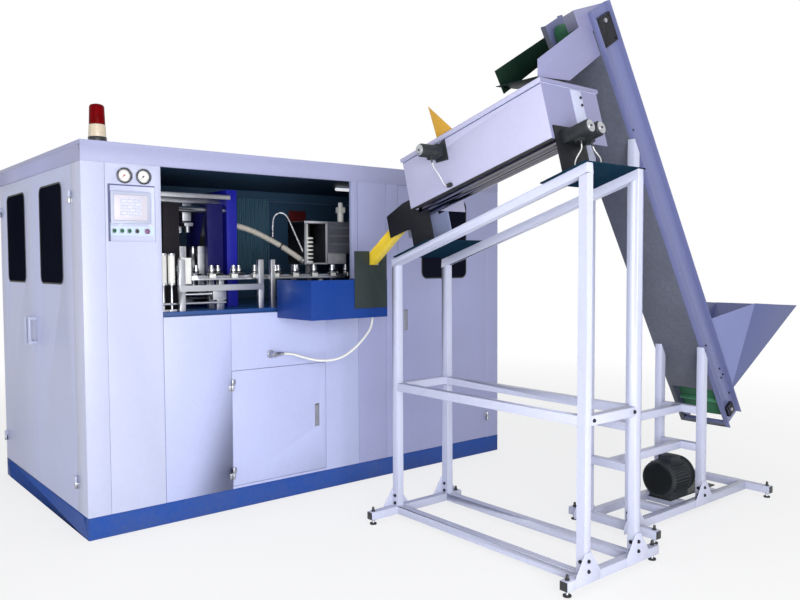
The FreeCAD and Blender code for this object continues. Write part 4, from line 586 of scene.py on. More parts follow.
def add_turned(bm, profile, steps, matrix=Matrix()):
    """Closed body turned about Z from (radius, height) points that start and end on the axis."""
    rings = []
    for radius, height in profile:
        angles = [2 * math.pi * n / steps for n in range(steps)] if radius else [0]
        rings.append([bm.verts.new(matrix @ Vector((radius * math.cos(angle),
                                                    radius * math.sin(angle), height)))
                      for angle in angles])
    for low, high in zip(rings, rings[1:]):
        for n in range(steps):
            m = (n + 1) % steps
            face = dict.fromkeys((low[n % len(low)], low[m % len(low)],
                                  high[m % len(high)], high[n % len(high)]))
            if len(face) > 2:
                bm.faces.new(list(face))


def closed_mesh(name, bm, matrix):
    bmesh.ops.transform(bm, matrix=matrix, verts=bm.verts)
    bmesh.ops.recalc_face_normals(bm, faces=bm.faces)
    mesh = bpy.data.meshes.new(name)
    bm.to_mesh(mesh)
    bm.free()
    return mesh


def drawn_mesh(name, blocks, turned, matrix):
    """A mesh of blocks (x, y, z, ease) and turned bodies (profile, steps, matrix)."""
    bm = bmesh.new()
    for block in blocks:
        add_block(bm, *block)
    for body in turned:
        add_turned(bm, *body)
    return closed_mesh(name, bm, matrix)


LARGE_FACE = 0.012   # square metres


def settle(name, mesh, finishes, body, stands_for=(), smooth=35):
    """Links a mesh as a piece riding on a body: large faces flat, the others smooth."""
    for finish in finishes:
        mesh.materials.append(finish)
    old_normals = mesh.attributes.get("custom_normal")
    if old_normals:
        mesh.attributes.remove(old_normals)
    mesh.polygons.foreach_set("use_smooth", [face.area < LARGE_FACE for face in mesh.polygons])
    mesh.set_sharp_from_angle(angle=math.radians(smooth))
    piece = new_object(name, mesh)
    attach(piece, body)
    if stands_for:
        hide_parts(*stands_for)
    return piece


def solid(name, finish, blocks=(), turned=(), matrix=CABINET, stands_for=()):
    mesh = drawn_mesh(name, blocks, turned, matrix)
    return settle(name, mesh, [finish], MACHINE, stands_for)


print("shape helpers ready")

# %% [markdown]
# The wide conduit leaves the clamp column and sags into the oven's side between
# two bright collars, with a black band at its middle. The thin one leaves the
# oven, makes a free arch and ends in a bright nozzle that points down.

# %% The two conduits
def spline_path(points):
    """The points of the smooth line, read from the route's own curve."""
    thin = route_curve("thin_line", points)
    evaluated = thin.evaluated_get(bpy.context.evaluated_depsgraph_get())
    mesh = bpy.data.meshes.new_from_object(evaluated)
    line = [vertex.co.copy() for vertex in mesh.vertices]
    bpy.data.objects.remove(thin)
    bpy.data.meshes.remove(mesh)
    return line


def conduit(name, points, radius, pitch, finish):
    line = spline_path(points)
    holder = route_curve(name + "_line", points)
    holder.data.use_fill_caps = False
    piece = new_object(name, run_tree(name, holder, RIBBED_HOSE, {
        "Radius": radius, "Rib Pitch": pitch, "Rib Depth": 0.13, "Finish": finish}))
    for polygon in piece.data.polygons:
        polygon.use_smooth = True
    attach(piece, MACHINE)
    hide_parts("conduits")
    return piece


CONDUIT_START = Vector((1127, 500, 1792))
BAND_SPOT = (343, -112, -143)
CONDUIT_MAIN = [(-6, 0, 0), (70, -9, -7), (163, -36, -40), (258, -73, -90), BAND_SPOT,
                (418, -146, -198), (487, -174, -251)]
CONDUIT_ARCH = [(487, -171, -187), (452, -168, -116), (416, -165, -40), (381, -162, 31),
                (361, -160, 66), (334, -158, 83), (303, -156, 84), (276, -154, 69),
                (259, -152, 42), (257, -150, 6), (256.5, -149, -34), (257, -148, -62)]
main_route = as_metres(CABINET, [CONDUIT_START + Vector(point) for point in CONDUIT_MAIN])
arch_route = as_metres(CABINET, [CONDUIT_START + Vector(point) for point in CONDUIT_ARCH])
nozzle = solid("arch_nozzle", CHROME, turned=[
    ([(0, -30), (5, -30), (6.5, -27), (6.5, -8), (9.4, -4), (9.4, 24), (8.2, 27), (0, 27)], 24,
     at((1384, 352, 1730)))])
solid("conduit_collars", BRIGHT_CAP, turned=[
    ([(0, 0), (24, 0), (24, 10), (21, 14), (21, 26), (0, 26)], 28, at(CONDUIT_START, 95)),
    ([(0, 0), (24, 0), (24, 8), (21, 12), (21, 22), (0, 22)], 28, at((1608, 328, 1546), -52))])
band_way = Vector((160, -73, -108)).to_track_quat("Z", "Y").to_matrix().to_4x4()
solid("conduit_band", BLACK_PLASTIC, turned=[
    ([(0, -7), (20, -7), (22.5, -5), (22.5, 5), (20, 7), (0, 7)], 28,
     Matrix.Translation(CONDUIT_START + Vector(BAND_SPOT)) @ band_way)])
main_conduit = conduit("main_conduit", main_route, 0.019, 0.0125, CONDUIT_BEIGE)
arch_conduit = conduit("arch_conduit", arch_route, 0.008, 0.0085, CONDUIT_STEEL)
print("conduits:", len(main_conduit.data.polygons), "and", len(arch_conduit.data.polygons), "faces")

# %% [markdown]
# Real sheet metal and tube never have knife edges. A merged copy of a CAD node
# gets its sharp edges eased by a small bevel that catches the light, and each of
# its faces can take a finish of its own, chosen by where the face lies.

# %% A dressed copy of a CAD node
MERGE_GAP = 1e-5                    # metres
FLAT_WITHIN = math.radians(0.8)
SHARP_FROM = math.radians(40)


def dress(node_name, finishes, choose=None, ease=1.0, matrix=CABINET, smooth=35):
    """Stands for a CAD node; choose says which finish a face takes, ease is in millimetres."""
    node = NODES[node_name]
    bm = bmesh.new()
    bm.from_mesh(node.data)
    bmesh.ops.remove_doubles(bm, verts=bm.verts, dist=MERGE_GAP)
    if choose:
        back = matrix.inverted()
        for face in bm.faces:
            face.material_index = int(choose(*(back @ face.calc_center_median())))
    bmesh.ops.dissolve_limit(bm, angle_limit=FLAT_WITHIN, verts=bm.verts, edges=bm.edges,
                             delimit={"MATERIAL"})
    sharp = [edge for edge in bm.edges if edge.is_manifold and edge.calc_face_angle(0) > SHARP_FROM]
    bmesh.ops.bevel(bm, geom=sharp, offset=ease / 1000, segments=2, profile=0.5, affect="EDGES",
                    clamp_overlap=True, loop_slide=True)
    name = node_name + "_dressed"
    mesh = bpy.data.meshes.new(name)
    bm.to_mesh(mesh)
    bm.free()
    return settle(name, mesh, finishes, body_of(node)[0], (node_name,), smooth)


print("dressing helper ready")

# %% [markdown]
# Bolts, plugs, fins and links are the same small shape many times over. One
# Geometry Nodes tree puts a template on every point of a holder mesh, turned by
# the point's own angles and then by a seeded random turn, as loose bolt heads are.

# %% The tree that copies a template
def live(sockets, name=None):
    """The first socket in use, of that name if one is given."""
    return next(item for item in sockets if item.enabled and name in (None, item.name))


def build_copies():
    tree, entry, leave = shape_tree("copies_on_points", {"Template": "Object", "Size": 1.0,
                                                         "Loose Turn": 0.0, "Seed": 3})
    shape = add(tree, "GeometryNodeObjectInfo", {"Object": entry["Template"]})
    named = add(tree, "GeometryNodeInputNamedAttribute", {"Name": "turn"},
                data_type="FLOAT_VECTOR")
    stand = add(tree, "FunctionNodeEulerToRotation", {0: live(named.outputs)})
    chance = add(tree, "FunctionNodeRandomValue", {"Seed": entry["Seed"]}, data_type="FLOAT")
    tree.links.new(entry["Loose Turn"], live(chance.inputs, "Max"))
    spin = add(tree, "FunctionNodeAxisAngleToRotation", {"Angle": live(chance.outputs)})
    both = add(tree, "FunctionNodeRotateRotation", {0: stand.outputs[0], 1: spin.outputs[0]},
               rotation_space="LOCAL")
    copies = add(tree, "GeometryNodeInstanceOnPoints", {
        "Points": entry["Geometry"], "Instance": shape.outputs["Geometry"],
        "Rotation": both.outputs[0], "Scale": entry["Size"]})
    return end_tree(tree, copies.outputs[0], entry, leave)


COPIES = build_copies()


def station(matrix, spot, out, side=(0, 0, 1)):
    """Where a copy goes: its point in metres, and the angles that point its Z along out."""
    z = (matrix.to_3x3() @ Vector(out)).normalized()
    x = matrix.to_3x3() @ Vector(side)
    x = (x - z * x.dot(z)).normalized()
    turn = Matrix((x, z.cross(x), z)).transposed().to_euler()
    return matrix @ Vector(spot), turn


def copy_onto(name, shape, stations, finish, size=1.0, loose=0.0):
    """Copies a shape onto stations: (blocks, turned bodies) in millimetres, with Z outwards."""
    original = new_object(name + "_shape", drawn_mesh(name + "_shape", *shape, MILLIMETRES))
    mesh = bpy.data.meshes.new(name + "_points")
    mesh.from_pydata([spot for spot, turn in stations], [], [])
    turns = mesh.attributes.new("turn", "FLOAT_VECTOR", "POINT")
    turns.data.foreach_set("vector", [angle for spot, turn in stations for angle in turn])
    made = run_tree(name, new_object(name + "_points", mesh), COPIES, {
        "Template": original, "Size": size, "Loose Turn": loose, "Seed": 3, "Finish": finish})
    bpy.data.objects.remove(original)
    return settle(name, made, (), MACHINE)


HEX_BOLT = ((), [([(0, 0), (8.5, 0), (8.5, 1.6), (0, 1.6)], 16),
                 ([(0, 1.2), (7.5, 1.2), (7.5, 5.6), (6.6, 6.6), (0, 6.6)], 6)])
print("copies tree ready:", COPIES.name)

# %% [markdown]
# The cabinet is folded sheet: its posts and column are a paler lavender than the panels.
# The header and roof take a darker copy of the sheet paint as painted shade, and so do the
# front, the door and the posts on the right. Hinges and lever pockets are bare metal, so on
# each door the faces in front of the sheet take the steel. The inner faces of roof and header
# carry the lining's painted shade.

# %% Cabinet nodes
SHEET_FRONT = -0.5                  # anything farther out than this stands on the sheet
PAINTED_SHADE_FROM_X = 1800.5              # the front to the right of this takes the painted shade
RIGHT_POSTS_X = 3000
dress("base_frame", [PLINTH_PAINT], ease=2.0)
# the posts on the right take the painted shade
dress("corner_posts", [POST_PAINT, SHADED_SHEET],
      lambda x, y, z: x > RIGHT_POSTS_X, 1.5)
# header and roof in painted shade outside, the lining's painted shade inside
dress("roof_and_headers", [HEADER_SHADE_PAINT, LINING_SHADE_PAINT],
      lambda x, y, z: z < 2178 and 20 < y < 1800 and 20 < x < 3230, 3.0)
dress("control_panel", [POST_PAINT], ease=0.8)
# thin dark strips on the recess's left and top edges: painted shadow
solid("recess_edges", SHADOW_LINE_PAINT,
      [((143.3, 160), (13.6, 13.95), (1651.3, 1969.7), 0),
       ((160.2, 412.7), (13.6, 13.95), (1963, 1969.7), 0)])
dress("front_panels", [SHEET_PAINT, STEEL, SHADED_SHEET],
      lambda x, y, z: 1 if y < SHEET_FRONT else 2 if x > PAINTED_SHADE_FROM_X else 0, 0.8)
dress("rear_panels", [SHEET_PAINT, WINDOW],
      lambda x, y, z: 1395 < z < 2015 and abs(x - 2797) < 245 and 1807 < y < 1814, 0.8)
for name in ("left_front_door", "left_rear_door"):
    dress(name, [SHEET_PAINT, SCREEN_FRAME], lambda x, y, z: x < SHEET_FRONT, 0.8)
LEVER_POCKETS = ((2280.0, 1111.0), (1502.0, 513.0))


def door_region(x, y, z):
    """True for the metal in front of the sheet and for the lever's pocket."""
    pocket = any(abs(x - px) < 20 and abs(z - pz) < 78 and y > 0.5 for px, pz in LEVER_POCKETS)
    return y < SHEET_FRONT or pocket


dress("right_door", [SHADED_SHEET, STEEL], door_region, 0.8)
dress("hatch_door", [SHEET_PAINT, STEEL], door_region, 0.8)
for name, ease in (("hinge_leaves", 0.6), ("door_lever", 0.8), ("hatch_lever", 0.8)):
    dress(name, [STEEL], ease=ease)
print("cabinet dressed")

# %% [markdown]
# A rubber seal runs round each window. It is a closed ring between two rounded
# rectangles, drawn flat and set into the face of its door.

# %% Window seals
def rounded_loop(x, z, radius, steps=6):
    points = []
    for cx, cz, start in ((x[1], z[1], 0), (x[0], z[1], 90), (x[0], z[0], 180), (x[1], z[0], 270)):
        mx = cx - radius if cx == x[1] else cx + radius
        mz = cz - radius if cz == z[1] else cz + radius
        for n in range(steps + 1):
            angle = math.radians(start + 90 * n / steps)
            points.append((mx + radius * math.cos(angle), mz + radius * math.sin(angle)))
    return points


def add_ring(bm, x, z, y, radius, width):
    """Ring with a rectangular section between a loop and the same loop grown by width."""
    inner = rounded_loop(x, z, radius)
    outer = rounded_loop((x[0] - width, x[1] + width), (z[0] - width, z[1] + width), radius + width)
    rings = [[bm.verts.new((px, depth, pz)) for px, pz in loop]
             for loop, depth in ((outer, y[0]), (inner, y[0]), (inner, y[1]), (outer, y[1]))]
    for first, second in zip(rings, rings[1:] + rings[:1]):
        for n in range(len(first)):
            m = (n + 1) % len(first)
            bm.faces.new((first[n], first[m], second[m], second[n]))


LEFT_FACE = CABINET @ at((0, 0, 0), -90, "Z")
REAR_FACE = CABINET @ at((0, 1815, 0), 180, "Z")
SEALS = {"left_front_seal": (LEFT_FACE, (-806, -354), "left_front_door"),
         "left_rear_seal": (LEFT_FACE, (-1612, -1160), "left_rear_door"),
         "right_seal": (CABINET, (2441.5, 2889.5), "right_door"),
         "rear_seal": (REAR_FACE, (-3023, -2571), MACHINE)}
for name, (matrix, x, body) in SEALS.items():
    bm = bmesh.new()
    add_ring(bm, (x[0] + 2, x[1] - 2), (1417, 1993), (-1.6, 1.9), 43, 9)
    settle(name, closed_mesh(name, bm, matrix), [SEAL_RUBBER], body)
print("seals:", list(SEALS))

# %% [markdown]
# The control column carries two gauges and the operator's screen. The gauges'
# cases are dark chrome with a white dial, and the graduation marks are copies of
# one thin bar round the dial.

# %% Gauges
GAUGES = {"left": (237.0, POINTER_RED), "right": (346.0, BLACK_PLASTIC)}
GAUGE_Z, DIAL_RADIUS, DIAL_DEPTH, MARK_STEPS = 2019, 34.5, 4.5, 30


def gauge_region(x, y, z):
    return 0 < y < DIAL_DEPTH and any(math.hypot(x - middle, z - GAUGE_Z) < DIAL_RADIUS
                                      for middle, finish in GAUGES.values())


dress("pressure_gauges", [GAUGE_CASE, DIAL_PAPER], gauge_region, 0.6)
for side, (middle, finish) in GAUGES.items():
    dress(f"gauge_needle_{side}", [finish], ease=0.2)
LONG_MARK = ([((-0.5, 0.5), (-3.0, 3.0), (-0.1, 0.25), 0)], ())
for side, (middle, finish) in GAUGES.items():
    marks = []
    for n in range(MARK_STEPS + 1):
        angle = math.radians(-45 + 270 * n / MARK_STEPS)
        across, up = math.cos(angle), math.sin(angle)
        reach = 29.0 if n % 5 == 0 else 30.5
        marks.append(station(CABINET, (middle + reach * across, 3.0, GAUGE_Z + reach * up),
                             (0, -1, 0), (-up, 0, across)))
    copy_onto(f"{side}_gauge_marks", LONG_MARK, marks, BLACK_PLASTIC, 0.9)
print("gauge marks: 2 x", MARK_STEPS + 1)

# %% [markdown]
# The screen shows pale rows on a light ground, drawn by a brick pattern in its
# material. A thin teal strip lies round the five push buttons. The beacon above
# has a black foot, a cream ring and a red lens.

# %% Screen, strip, buttons and beacon
dress("operator_screen", [SCREEN_FRAME, SCREEN_PALE],
      lambda x, y, z: 177 < x < 371 and 1769 < z < 1914 and 5 < y < 10, 1.5)
solid("screen_table", SCREEN_GLASS, [((212, 334), (5.6, 6.4), (1790, 1896), 0)])
STRIP_Y = (13.7, 13.95)
STRIP_ENDS = (150, 166.5, 191.5, 209.5, 234.5, 251.5, 276.5, 295.5, 320.5, 350.5, 383.5, 404)
strip = [((150, 404), STRIP_Y, height, 0) for height in ((1686, 1694.5), (1727.5, 1736))]
strip += [(ends, STRIP_Y, (1694.5, 1727.5), 0) for ends in zip(STRIP_ENDS[::2], STRIP_ENDS[1::2])]
solid("button_strip", STRIP_TEAL, strip)
for number, colour in enumerate(("green", "green", "green", "black", "red"), 1):
    finish = {"green": BUTTON_GREEN, "black": BLACK_PLASTIC, "red": BUTTON_RED}[colour]
    dress(f"button_{number}", [finish], ease=1.2)
dress("beacon_base", [BLACK_PLASTIC, CREAM_PLASTIC],
      lambda x, y, z: z > 2230.5, 1.5)
dress("beacon_dome", [RED_LENS], ease=2.0, smooth=60)
print("screen, buttons and beacon dressed")

# %% [markdown]
# Inside the cabinet stand a blue clamp, the moulds, a chain of preform carriers
# and the oven. Behind them a dark lining closes the walls and the ceiling as painted
# shade, and a corrugated sheet, made by a sine rule on a grid, covers part of the back wall.

# %% Dark lining of painted shade
solid("dark_lining", LINING_SHADE_PAINT,
      [((130, 3120), (1777, 1781), (130, 2080), 0.5), ((32, 3218), (32, 1783), (2166, 2170), 0.5),
       ((3140, 3144), (120, 1770), (130, 2080), 0.5)])


def build_corrugation():
    tree, entry, leave = shape_tree("corrugated_sheet", {
        "Width": 0.4, "Height": 0.6, "Pitch": 0.06, "Depth": 0.01, "Columns": 121})
    grid = add(tree, "GeometryNodeMeshGrid", {
        "Vertices Y": 2, "Size X": entry["Width"], "Size Y": entry["Height"],
        "Vertices X": entry["Columns"]})
    position = add(tree, "GeometryNodeInputPosition")
    split = add(tree, "ShaderNodeSeparateXYZ", {0: position.outputs[0]})
    lift = sums(tree, waves(tree, split.outputs[0], entry["Pitch"]), ("MULTIPLY", entry["Depth"]))
    offset = add(tree, "ShaderNodeCombineXYZ", {2: lift})
    shift = add(tree, "GeometryNodeSetPosition", {"Geometry": grid.outputs["Mesh"],
                                                  "Offset": offset.outputs[0]})
    return end_tree(tree, shift.outputs[0], entry, leave)


corrugated = run_tree(
    "corrugated_flat", new_object("holder", bpy.data.meshes.new("holder")), build_corrugation(),
    {"Width": 0.42, "Height": 0.62, "Pitch": 0.042, "Depth": 0.009, "Columns": 161,
     "Finish": TEAL_SHEET}, thickness=0.0015)
corrugated.transform(at(place(1960, 1760, 1790), 90, "X"))
settle("corrugated_lining", corrugated, (), MACHINE)
print("lining and corrugated sheet of", len(corrugated.polygons), "faces")

# %% Window, lamp and pipes inside
solid("inner_red_window", DARK_RED,
      [((2380, 2560), (1768, 1776), (1860, 2010), 2)])
solid("inner_lamp", LAMP_WHITE, turned=[
    ([(0, 0), (11, 0), (13, 3), (13, 157), (11, 160), (0, 160)], 20, at((2400, 1050, 2148), 90))])
solid("inner_rails", ALUMINIUM, [((300, 1053), (322, 350), (1945, 1975), 2)],
      [([(0, 0), (8, 0), (8, 430), (0, 430)], 16, at((470, 110, 1285), 90))])
print("small things inside placed")

# %% Clamp, moulds and bed
dress("machine_bed", [BED_PAINT], ease=2.0)


def clamp_region(x, y, z):
    """1 for tie bars and top beams, 2 for the air cylinder, 3 and 0 for left and right platen."""
    if x < 583.5:
        return 3
    cylinder = 785 < x < 851 and 478 < y < 602 and 1740 < z < 1926
    return 0 if x >= 1052.5 else 2 if cylinder else 1


dress("clamp_frame", [CLAMP_BLUE, STEEL, ALUMINIUM, PLATEN_DARK], clamp_region, 2.0)
for side, platen in (("left", PLATEN_DARK), ("right", PLATEN_BLUE)):
    dress(f"mould_{side}", [platen, MOULD_METAL],
          lambda x, y, z: 721 < x < 915 and 1329 < z < 1641 and 408 < y < 672, 1.5)
dress("stretch_unit", [STEEL])
print("clamp and moulds dressed")

# %% [markdown]
# The carriers ride on a chain. The CAD keeps the chain as one band, so a row of
# pin heads is copied along its racetrack line, and each carrier gets a black
# grip ring round its cup, a bright tip and a white shoe.

# %% Track, chain and carriers
dress("transfer_track", [ALUMINIUM], ease=1.5)
dress("preform_carriers", [STEEL, BLACK_PLASTIC, BRIGHT_CAP],
      lambda x, y, z: (z > 1449.9) + (z > 1464.1), 0.8)
for side in ("left", "right"):
    dress(f"chain_wheel_{side}", [ALUMINIUM])
STRAIGHT, BEND, WHEEL_XS, TRACK_Y = 1050.0, 100, (750, 1800), 250
CHAIN_LENGTH = 2 * STRAIGHT + 2 * math.pi * BEND
LINKS, CARRIERS = 104, 18


def track_point(way):
    """Point and heading after a way along the chain: two straights and two half circles."""
    half = CHAIN_LENGTH / 2
    lap, way = divmod(way % CHAIN_LENGTH, half)
    run, turn = min(way, STRAIGHT), max(way - STRAIGHT, 0) / BEND
    x = run + BEND * math.sin(turn)
    y = -BEND * math.cos(turn)
    if lap:
        return WHEEL_XS[1] - x, TRACK_Y - y, math.pi + turn
    return WHEEL_XS[0] + x, TRACK_Y + y, turn


UP = (0, 0, 1)
links, rings, tips, shoes = [], [], [], []
for n in range(LINKS):
    x, y, heading = track_point(n * CHAIN_LENGTH / LINKS)
    links.append(station(CABINET, (x, y, 1450), UP, (math.cos(heading), math.sin(heading), 0)))
for n in range(CARRIERS):
    x, y, heading = track_point((n + 0.5) * CHAIN_LENGTH / CARRIERS)
    across, along = math.sin(heading), math.cos(heading)
    rings.append(station(CABINET, (x, y, 1470), UP, (1, 0, 0)))
    tips.append(station(CABINET, (x, y, 1495.5), UP, (1, 0, 0)))
    shoes.append(station(CABINET, (x + 16 * across, y - 16 * along, 1436), UP, (along, across, 0)))
PIN_HEAD = ([((-9.5, 9.5), (-3.6, 3.6), (0, 1.6), 0)],
            [([(0, 1.5), (3.4, 1.5), (2.8, 3.0), (0, 3.0)], 8)])
GRIP_RING = ((), [([(0, 0), (21.5, 0), (22.5, 1.5), (22.5, 6.5), (21, 8), (0, 8)], 20)])
CARRIER_TIP = ((), [([(0, 0), (13, 0), (13, 9), (15.5, 9), (15.5, 12), (12, 12), (12, 21),
                      (0, 21)], 16)])
SHOE = ([((-21, 21), (-4, 4), (0, 25), 1.5)], ())
copy_onto("chain_pins", PIN_HEAD, links, STEEL)
copy_onto("carrier_rings", GRIP_RING, rings, BLACK_PLASTIC)
copy_onto("carrier_shoes", SHOE, shoes, WHITE_PLASTIC)
copy_onto("carrier_tips", CARRIER_TIP, tips, ALUMINIUM)
print("chain of", len(links), "links and", len(rings), "carriers")

# %% Oven and air fittings
def oven_region(x, y, z):
    """1 for the stack of discs, 2 for the lamp box, 3 for the dark inside, 0 for the frame."""
    stack = math.hypot(x - 1678, y - 380) < 47.5 and 1530.5 < z < 1809
    if x < 1608.5 or 1623 < x < 1787 and y > 332 and 1530 < z < 1810 and not stack:
        return 3
    return 1 if stack else 2 if x > 1802.1 else 0


def fitting_region(x, y, z):
    """1 for the black regulator body, 2 for bright stems and the valve, 0 for white tubes."""
    if x > 2100 and 1894 < z < 1936:
        return 1
    return 2 if x < 600 and z < 1397 or 600 < x < 900 else 0


dress("oven_housing", [OVEN_GREY, WHITE_PLASTIC, SLATE_PAINT, OVEN_DARK], oven_region)
solid("oven_control_box", OVEN_GREY,
      [((1812, 1986), (330, 500), (1522, 1600.5), 3), ((1830, 1880), (326, 332), (1540, 1584), 1.5),
       ((1905, 1965), (326, 332), (1540, 1584), 1.5)])
solid("valve_block", WHITE_PLASTIC,
      [((604, 668), (93.5, 142), (1402, 1562), 3), ((612, 660), (141.5, 148), (1420, 1540), 2)])
dress("air_fittings", [WHITE_PLASTIC, BLACK_PLASTIC, ALUMINIUM], fitting_region)
COLLAR = [(0, 0), (23.5, 0), (24, 1), (24, 11), (23.5, 12), (0, 12)]
solid("cylinder_collars", BRIGHT_CAP, turned=[
    (COLLAR, 24, at((x, 120, z))) for x in (500.0, 552.0) for z in (1397, 1576)])
print("oven and fittings dressed")

# %% [markdown]
# The infeed trough is blue sheet under dark guards. The hose starts at a bright
# elbow and ends in a collar under the trough.

# %% Trough, guards and hose ends
dress("infeed_trough", [TROUGH_PAINT])
dress("guard_panels", [GREEN_PAINT, GUARD_SLATE],
      lambda x, y, z: z < 1900, 0.8)
solid("hose_ferrules", BRIGHT_CAP, turned=[
    ([(0, 0), (10.5, 0), (11.5, 2), (11.5, 14), (9.2, 24), (0, 24)], 24, at((1200, -40, 948), 90)),
    ([(0, 0), (12.5, 0), (13.5, 1.5), (13.5, 12), (10, 22), (0, 22)], 24,
     at((1743, -300, 1178), 180, "X"))])
print("infeed dressed")

# %% [markdown]
# The feeder: a bin of folded sheet over two chrome rollers, on a stand of square
# tube. Guide rails, deck plates and the far cheek have finishes of their own; the
# other brackets stay black.

# %% Feeder body
for name in ("feeder_stand", "elevator_stand"):
    dress(name, [TUBE_PAINT], ease=3.0)
dress("levelling_feet", [SEAL_RUBBER, STEEL], lambda x, y, z: z >= 8.1, 0.8)
# the bin's end wall takes the darker copy of its lavender: painted shade
dress("preform_bin", [BIN_PAINT, BIN_SHADE_PAINT], lambda x, y, z: y < -1126.8, 0.8, FEEDER)


def level(x, y, z):
    """A point of the tilted feeder, in the cabinet's millimetres."""
    return CABINET.inverted() @ (FEEDER @ Vector((x, y, z)))


def bracket_region(x, y, z):
    """1 for the guide rails, 2 for the deck plates, 3 for the far cheek, 0 for the rest."""
    drawn = level(x, y, z)
    rail = 1552 + (-783 - drawn.y) * 414 / 1357
    if rail - 1 < drawn.z < rail + 7:
        return 2
    if x > 1751.5 and y > -260:
        return 3
    return abs(x - 1681) < 18 and -200.5 < y < -36 and z > -20.5


def motor_region(x, y, z):
    """1 for cast end caps, 2 and 3 for foot and shaft of the base motor, 0 for the bodies."""
    drawn = level(x, y, z)
    if drawn.z < 500:
        return 2 if drawn.z < 84.5 else 3 if drawn.x > 3075.5 else 0
    return x < 1392.5 if drawn.x < 1545 else y < -1289.5


dress("roller_brackets", [BLACK_PAINT, STEEL, DECK_TEAL, CHEEK_BLUE],
      bracket_region, 0.8, FEEDER)
dress("paddle_wheel", [STEEL], ease=0.6)
dress("preform_chute", [YELLOW_PAINT], ease=0.8)
dress("bin_guard", [GUARD_YELLOW], ease=0.6)
dress("drive_motors", [MOTOR_PAINT, BRIGHT_CAP, BLACK_PAINT, STEEL],
      motor_region, 1.2, FEEDER)
print("feeder dressed")

# %% [markdown]
# The small motors end in a bright disc with a black button. The base motor's
# body has cooling fins all round, save where its box and its foot sit.

# %% Motor ends and fins
DISC = [(0, -1), (20, -1), (20, 1.5), (18, 3), (0, 3)]
BUTTON = [(0, 2), (5, 2), (5, 4), (4, 5), (0, 5)]
for name, finish, slot, profile, steps, nearer in (
        ("motor_end_discs", BRIGHT_CAP, "steel", DISC, 28, 0),
        ("motor_end_buttons", BLACK_PLASTIC, "black_plastic", BUTTON, 24, 2)):
    ends = [at((x, -1290 - nearer, 0), 90, "X") for x in ROLLER_XS]
    ends.append(at((1392 - nearer, -388, 213), -90))
    solid(name, finish, turned=[(profile, steps, end) for end in ends], matrix=FEEDER)
MOTOR_Y, MOTOR_Z, FIN_FOOT = -1727.5, 201, 105
fins = []
for angle in range(0, 360, 10):
    if not (58 < angle < 122 or 232 < angle < 308):
        out = (0, math.cos(math.radians(angle)), math.sin(math.radians(angle)))
        spot = (2940, MOTOR_Y + FIN_FOOT * out[1], MOTOR_Z + FIN_FOOT * out[2])
        fins.append(station(CABINET, spot, out, (1, 0, 0)))
FIN = ([((-74, 74), (-1.6, 1.6), (-3, 11), 0.6, 1)], ())
copy_onto("base_motor_fins", FIN, fins, MOTOR_PAINT)
solid("base_motor_ends", MOTOR_PAINT, turned=[
    ([(0, 0), (96, 0), (104, 6), (108, 14), (108, 34), (0, 34)], 40,
     at((2830, MOTOR_Y, MOTOR_Z), 90)),
    ([(0, 0), (110, 0), (110, 12), (0, 12)], 40, at((3058, MOTOR_Y, MOTOR_Z), 90))])
print("motor ends and", len(fins), "fins made")

# %% [markdown]
# Black strips run under the bin's long walls. Its rim is folded over: a paler band
# on the fold is painted highlight, and a dark line under it is painted shadow. Each
# lead leaves its motor through a relief, and the paddle motor's lead ends in a gland.

# %% Black strips, painted highlight and shadow, rollers and reliefs
BIN_LONG, RIM_LONG, RIM = (-1128, -68), (-1129, -67), (277, 299.5)
solid("bin_lower_seals", SEAL_RUBBER,
      [((1547.5, 1556), BIN_LONG, (-17, -4.5), 1.5), ((1978, 1986), BIN_LONG, (236, 250.5), 1.5)],
      matrix=FEEDER)
# a paler band along the rim's fold: painted highlight
solid("bin_rim_bands", POST_PAINT,
      [((1548.6, 1550.4), RIM_LONG, RIM, 0), ((1551, 1983), (-1131.4, -1129.6), RIM, 0)],
      matrix=FEEDER)
# a dark line under the band: painted shadow
solid("bin_rim_line", SHADOW_LINE_PAINT, [((1549, 1550.4), RIM_LONG, (271, 276.5), 0)],
      matrix=FEEDER)
for side in ("left", "right"):
    dress(f"roller_{side}", [CHROME])
solid("cable_gland", BLACK_PLASTIC, [((1526, 1550), (-432, -404), (4, 24), 3)],
      matrix=FEEDER, stands_for=["feeder_cables"])
RELIEF = [(0, 0), (6.5, 0), (6.5, 5), (5, 8), (3.4, 24), (0, 24)]
solid("lead_reliefs", BLACK_PLASTIC, turned=[
    (RELIEF, 16, at(spot, 180, "X"))
    for spot in ((1470, -388, 169), *((x, -1220, -44) for x in ROLLER_XS))], matrix=FEEDER)
print("bin and leads finished")

# %% [markdown]
# The elevator: two painted channels with a speckled pan under them, black
# bearing plates, a green belt with paler cleats, a hopper of folded sheet, and
# a chute whose floor is dark green below.

# %% Elevator nodes
def channel_region(run, y, out):
    """1 for the pan, 2 for the bearing plates, 0 for the painted channels."""
    head = 49.9 < run < 204.1 and -147.1 < out < -19.9
    tail = 2619.9 < run < 2690.1 and -117.1 < out < -46.9
    if (y < -1860.2 or y > -1579.8) and (head or tail):
        return 2
    return out < -164.9 and y > -1861


dress("elevator_frame", [CHANNEL_PAINT, PAN_SHEET, BLACK_PAINT], channel_region,
      0.8, ELEVATOR)
dress("elevator_belt", [BELT_RUBBER, CLEAT_RUBBER],
      lambda run, y, out: 47 < abs(out + 82.5) < 72 and 0 < run < 2740, 0.6, ELEVATOR)
for name in ("head_drum", "tail_drum"):
    dress(name, [STEEL])
